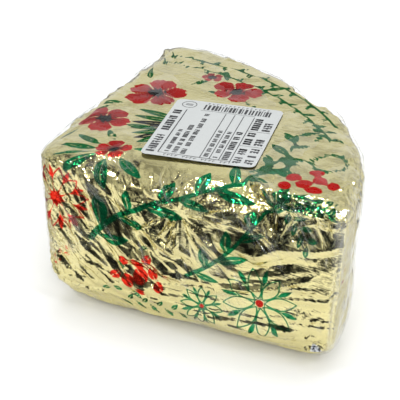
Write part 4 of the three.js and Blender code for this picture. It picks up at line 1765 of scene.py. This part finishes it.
# %% Card finish
def card_finish(name, low, high, noise_scale, edges=(0.48, 0.72), fade_x=None, fade_y=None, fade_out=None,
                fade_z=None):
    """A glowing card with blotches from low to high, that fades in along an axis or from the middle."""
    recipe = ValueRecipe(name)
    blotches = recipe.ramp(recipe.noise(noise_scale, 3.0, 0.6), *edges)
    glow = recipe.node("Emission", Color=recipe.mix(blotches, low, high), Strength=1.0).outputs[0]
    clear = recipe.node("BsdfTransparent").outputs[0]
    place = recipe.node("SeparateXYZ", i0=recipe.position())
    away = recipe.node("VectorMath", {"operation": "LENGTH"}, i0=recipe.position()).outputs["Value"]
    share = 1.0
    for value, fade in ((place.outputs[0], fade_x), (place.outputs[1], fade_y), (place.outputs[2], fade_z),
                        (away, fade_out)):
        if fade:
            share = recipe.times(recipe.ramp(value, *fade), share)
    return recipe.finish(recipe.node("MixShader", i0=share, i1=clear, i2=glow).outputs[0])


# %% Place the cards
CARD_HEIGHT = 0.002
CLUTTER_HEIGHT = 0.0015
NEAR_BLACK = (0.004, 0.005, 0.006, 1)
CARDS = (
    # the floor is dark from a few centimetres before the front
    ("dark_card", CARD_HEIGHT, [(-0.12, -0.125), (0.9, -0.115), (2.2, -2.9), (-1.8, -2.9)],
     card_finish("dark_studio_card", NEAR_BLACK, (0.08, 0.10, 0.13, 1), 11.0,
                 fade_x=(-0.105, -0.025), fade_y=(-0.122, -0.19))),
    # a low dark screen before the front: its creases mirror it, and the top looks over it
    ("dark_screen", 0.0, [(-0.62, -0.21, CARD_HEIGHT), (0.50, -0.21, CARD_HEIGHT),
                          (0.50, -0.21, 0.19), (-0.62, -0.21, 0.19)],
     card_finish("low_dark_screen", NEAR_BLACK, (0.16, 0.19, 0.22, 1), 26.0, edges=(0.52, 0.66),
                 fade_x=(-0.17, -0.02), fade_z=(0.18, 0.14))),
    # pale grey to both sides, so that the foil near the floor doesn't mirror pure white there
    ("left_card", CARD_HEIGHT, [(-0.22, 0.03), (-0.085, 0.03), (-0.085, -0.09), (-0.22, -0.13)],
     card_finish("grey_left_card", (0.72, 0.70, 0.67, 1), (1.0, 0.98, 0.95, 1), 9.0, fade_x=(-0.09, -0.12))),
    ("right_card", CARD_HEIGHT, [(0.03, 0.2), (0.22, 0.2), (0.22, -0.11), (0.085, -0.11)],
     card_finish("grey_right_card", (0.72, 0.72, 0.70, 1), (0.98, 0.98, 0.95, 1), 9.0, fade_x=(0.06, 0.09))),
    # what stands about in the rest of the studio, seen in the sides that face away from the camera
    ("clutter_card", CLUTTER_HEIGHT,
     [(-0.14, -0.1), (2.9, -0.1), (2.9, 2.9), (-2.9, 2.9), (-2.9, -2.5), (-2.54, -2.5)],
     card_finish("studio_clutter", (0.96, 0.95, 0.92, 1), (0.02, 0.025, 0.03, 1), 13.0, edges=(0.44, 0.52),
                 fade_out=(0.12, 0.17))),
)
for name, height, corners, finish in CARDS:
    card = flat_card(name, corners, height)
    card.data.materials.append(finish)
    card.visible_camera = False
    card.visible_diffuse = False
    card.visible_shadow = False
    card.visible_transmission = False
print("cards:", ", ".join(card[0] for card in CARDS))

# %% [markdown]
# ## The world
#
# Beyond the cards, the object stands in a bright tent of soft cloth, with a grey room behind the
# camera. An environment image would bring somebody else's picture in. Ramps over the direction and
# some noise are enough: the foil breaks everything up so finely that only the tones and the
# sharpness of their borders can be told.

# %% World helpers
CAMERA_AZIMUTH = math.radians(23.73)
CAMERA_ELEVATION = math.radians(28.02)


class WorldRecipe(ValueRecipe):
    """The same short ways to add nodes, for the world around the object."""

    def __init__(self, name):
        self.material = bpy.data.worlds.new(name)
        self.material.use_nodes = True
        bpy.context.scene.world = self.material
        self.tree = self.material.node_tree
        self.tree.nodes.clear()
        self.output = self.tree.nodes.new("ShaderNodeOutputWorld")

    def smooth(self, value, low, high, low_value=0.0, high_value=1.0):
        return self.node("MapRange", {"interpolation_type": "SMOOTHSTEP"}, i0=value, i1=low, i2=high,
                         i3=low_value, i4=high_value).outputs[0]

    def tones(self, value, stops):
        """A colour for each value, from (place, colour) stops."""
        node = self.node("ValToRGB", i0=value)
        elements = node.color_ramp.elements
        while len(elements) < len(stops):
            elements.new(0.5)
        for element, (place, tint) in zip(elements, stops):
            element.position, element.color = place, (*tint, 1)
        return node.outputs[0]


# %% Tones of the room and the tent
# the room's by noise, the tent's by height, each with stops from 0 to 1
ROOM_TONES = ((0.0, (0.003, 0.004, 0.005)), (0.50, (0.004, 0.005, 0.007)), (0.60, (0.05, 0.07, 0.09)),
              (0.68, (0.20, 0.23, 0.26)))
TENT_TONES = ((0.0, 0.88), (0.40, 0.88), (0.54, 0.56), (0.64, 0.70), (0.80, 0.72), (0.95, 0.50),
              (0.985, 0.62))
TENT_TINT = (0.97, 0.99, 1.0)
ROOM_GREY = (0.60, 0.61, 0.57, 1)


# %% Build the world
def build_world():
    recipe = WorldRecipe("light_tent")
    direction = recipe.node("TexCoord").outputs["Generated"]
    parts = recipe.node("SeparateXYZ", i0=direction)
    sideways, height = parts.outputs["X"], parts.outputs["Z"]
    to_camera = (math.sin(CAMERA_AZIMUTH), -math.cos(CAMERA_AZIMUTH), 0)
    front = recipe.node("VectorMath", {"operation": "DOT_PRODUCT"}, i0=direction,
                        i1=to_camera).outputs["Value"]

    # the room behind the camera: mostly grey, with dim blotches, and plain grey towards both sides
    room_share = recipe.times(recipe.smooth(front, 0.05, 0.45),
                              recipe.smooth(height, 0.50, 0.68, 1.0, 0.0))
    room = recipe.tones(recipe.noise(5.0, 3.0, where=direction), ROOM_TONES)
    beside = recipe.math("MAXIMUM", recipe.ramp(sideways, 0.06, 0.40), recipe.ramp(sideways, -0.56, -0.76))
    room = recipe.mix(recipe.ramp(beside, 0, 1, 0.8, 1.0), room, ROOM_GREY)

    # the tent: soft folds of cloth, with hard-edged gaps overhead and above the room, and a calm top
    folds = recipe.ramp(recipe.noise(3.4, 4.0, where=direction), 0.40, 0.60, 0.6, 1.3)
    gaps = recipe.ramp(recipe.noise(7.0, 2.0, where=direction), 0.58, 0.64, 0.05, 2.1)
    overhead = recipe.times(recipe.ramp(height, 0.89, 0.96), recipe.ramp(front, -0.25, -0.05))
    window = recipe.ramp(height, 0.58, 0.66, 0.0, recipe.ramp(front, -0.12, 0.15))
    below_zenith = recipe.ramp(height, 0.965, 0.985, 1.0, 0.0)
    gappy = recipe.times(recipe.math("MAXIMUM", overhead, window), below_zenith)
    cloth = recipe.ramp(gappy, 0, 1, folds, gaps)
    tent = recipe.tones(height, [(place, tuple(value * part for part in TENT_TINT))
                                 for place, value in TENT_TONES])
    tent = recipe.vector("SCALE", tent, recipe.ramp(height, 0.46, 0.62, 1.0, cloth))

    background = recipe.node("Background", Color=recipe.mix(room_share, tent, room), Strength=1.0)
    recipe.finish(background.outputs[0])


build_world()

# %% [markdown]
# ## Lamps
#
# Each soft box is an area lamp. Small ones give sparks on the creases, and large ones fill the shadows
# without being mirrored. The crushed strip gets three tiny lamps of its own, each seen only from
# within a narrow cone, so that its crumbs sparkle and nothing else does.

# %% Lamps
def soft_box(name, at, target, size, power):
    """An area lamp that looks at a target."""
    lamp = bpy.data.lights.new(name, "AREA")
    lamp.shape = "RECTANGLE"
    lamp.size, lamp.size_y = size
    lamp.energy = power
    box = bpy.data.objects.new(name, lamp)
    bpy.context.scene.collection.objects.link(box)
    box.location = at
    direction = np.array(target, float) - np.array(at, float)
    yaw = math.atan2(direction[1], direction[0])
    pitch = math.acos(-direction[2] / np.linalg.norm(direction))
    box.rotation_euler = (pitch, 0, yaw - math.pi / 2)
    return box


soft_box("overhead_box", (0.05, 0.10, 1.1), (0, 0, 0), (0.10, 0.08), 0.5)
soft_box("left_box", (-0.42, -0.72, 1.0), (0, 0, 0), (0.05, 0.05), 1.8)
soft_box("right_box", (0.72, -0.40, 0.9), (0, 0, 0), (0.07, 0.07), 2.2)
soft_box("low_right_box", (0.74, -0.78, 0.53), (0, 0, 0), (0.13, 0.13), 1.6)
soft_box("edge_box", (-0.12, -0.37, 0.44), (0.055, -0.07, 0.08), (0.12, 0.08), 0.065)
STRIP_AT = (0.066, -0.066, 0.08)
STRIP_CONE = math.radians(9)
STRIP_LAMPS = [
    # place and size
    ((-0.105, 0.018, 0.537), 0.06),
    ((0.06, 0.10, 0.55), 0.05),
    ((-0.20, -0.16, 0.46), 0.05),
]
for number, (at, size) in enumerate(STRIP_LAMPS):
    pin = soft_box(f"strip_lamp_{number}", at, STRIP_AT, (size, size), 0.010)
    pin.data.spread = STRIP_CONE
    pin.visible_diffuse = False
front_fill = soft_box("front_fill", (0.35, -1.0, 0.7), (0, -0.05, 0), (0.9, 0.6), 6.6)
top_fill = soft_box("top_fill", (0.0, 0.2, 1.3), (0, 0, 0), (1.2, 1.2), 10.0)
for fill in (front_fill, top_fill):
    fill.visible_glossy = False

# %% [markdown]
# ## Camera
#
# The camera looks down on the front from a little to the right. It is set from its distance, two
# angles and a slight roll, which is easier to adjust than a location and a rotation.

# %% Camera
CAMERA_DISTANCE = 0.6498
CAMERA_TARGET = np.array([56.37, 62.02, 40.71]) + CORNER_AT
CAMERA_ROLL = math.radians(0.91)
FOCAL_PIXELS = 1324.95
IMAGE_PIXELS = 400
SENSOR = 36.0


def place_camera():
    back = np.array([math.sin(CAMERA_AZIMUTH) * math.cos(CAMERA_ELEVATION),
                     -math.cos(CAMERA_AZIMUTH) * math.cos(CAMERA_ELEVATION), math.sin(CAMERA_ELEVATION)])
    lens = bpy.data.cameras.new("camera")
    lens.sensor_width = SENSOR
    lens.lens = FOCAL_PIXELS / IMAGE_PIXELS * SENSOR
    lens.clip_start = 0.01
    camera = bpy.data.objects.new("camera", lens)
    bpy.context.scene.collection.objects.link(camera)
    camera.location = CAMERA_TARGET * MM + back * CAMERA_DISTANCE
    turn = Matrix.Rotation(CAMERA_AZIMUTH, 4, "Z") @ Matrix.Rotation(math.pi / 2 - CAMERA_ELEVATION, 4, "X")
    turn = turn @ Matrix.Rotation(CAMERA_ROLL, 4, "Z")
    camera.rotation_euler = turn.to_euler()
    bpy.context.scene.camera = camera


place_camera()
bpy.context.scene.view_settings.view_transform = "Standard"
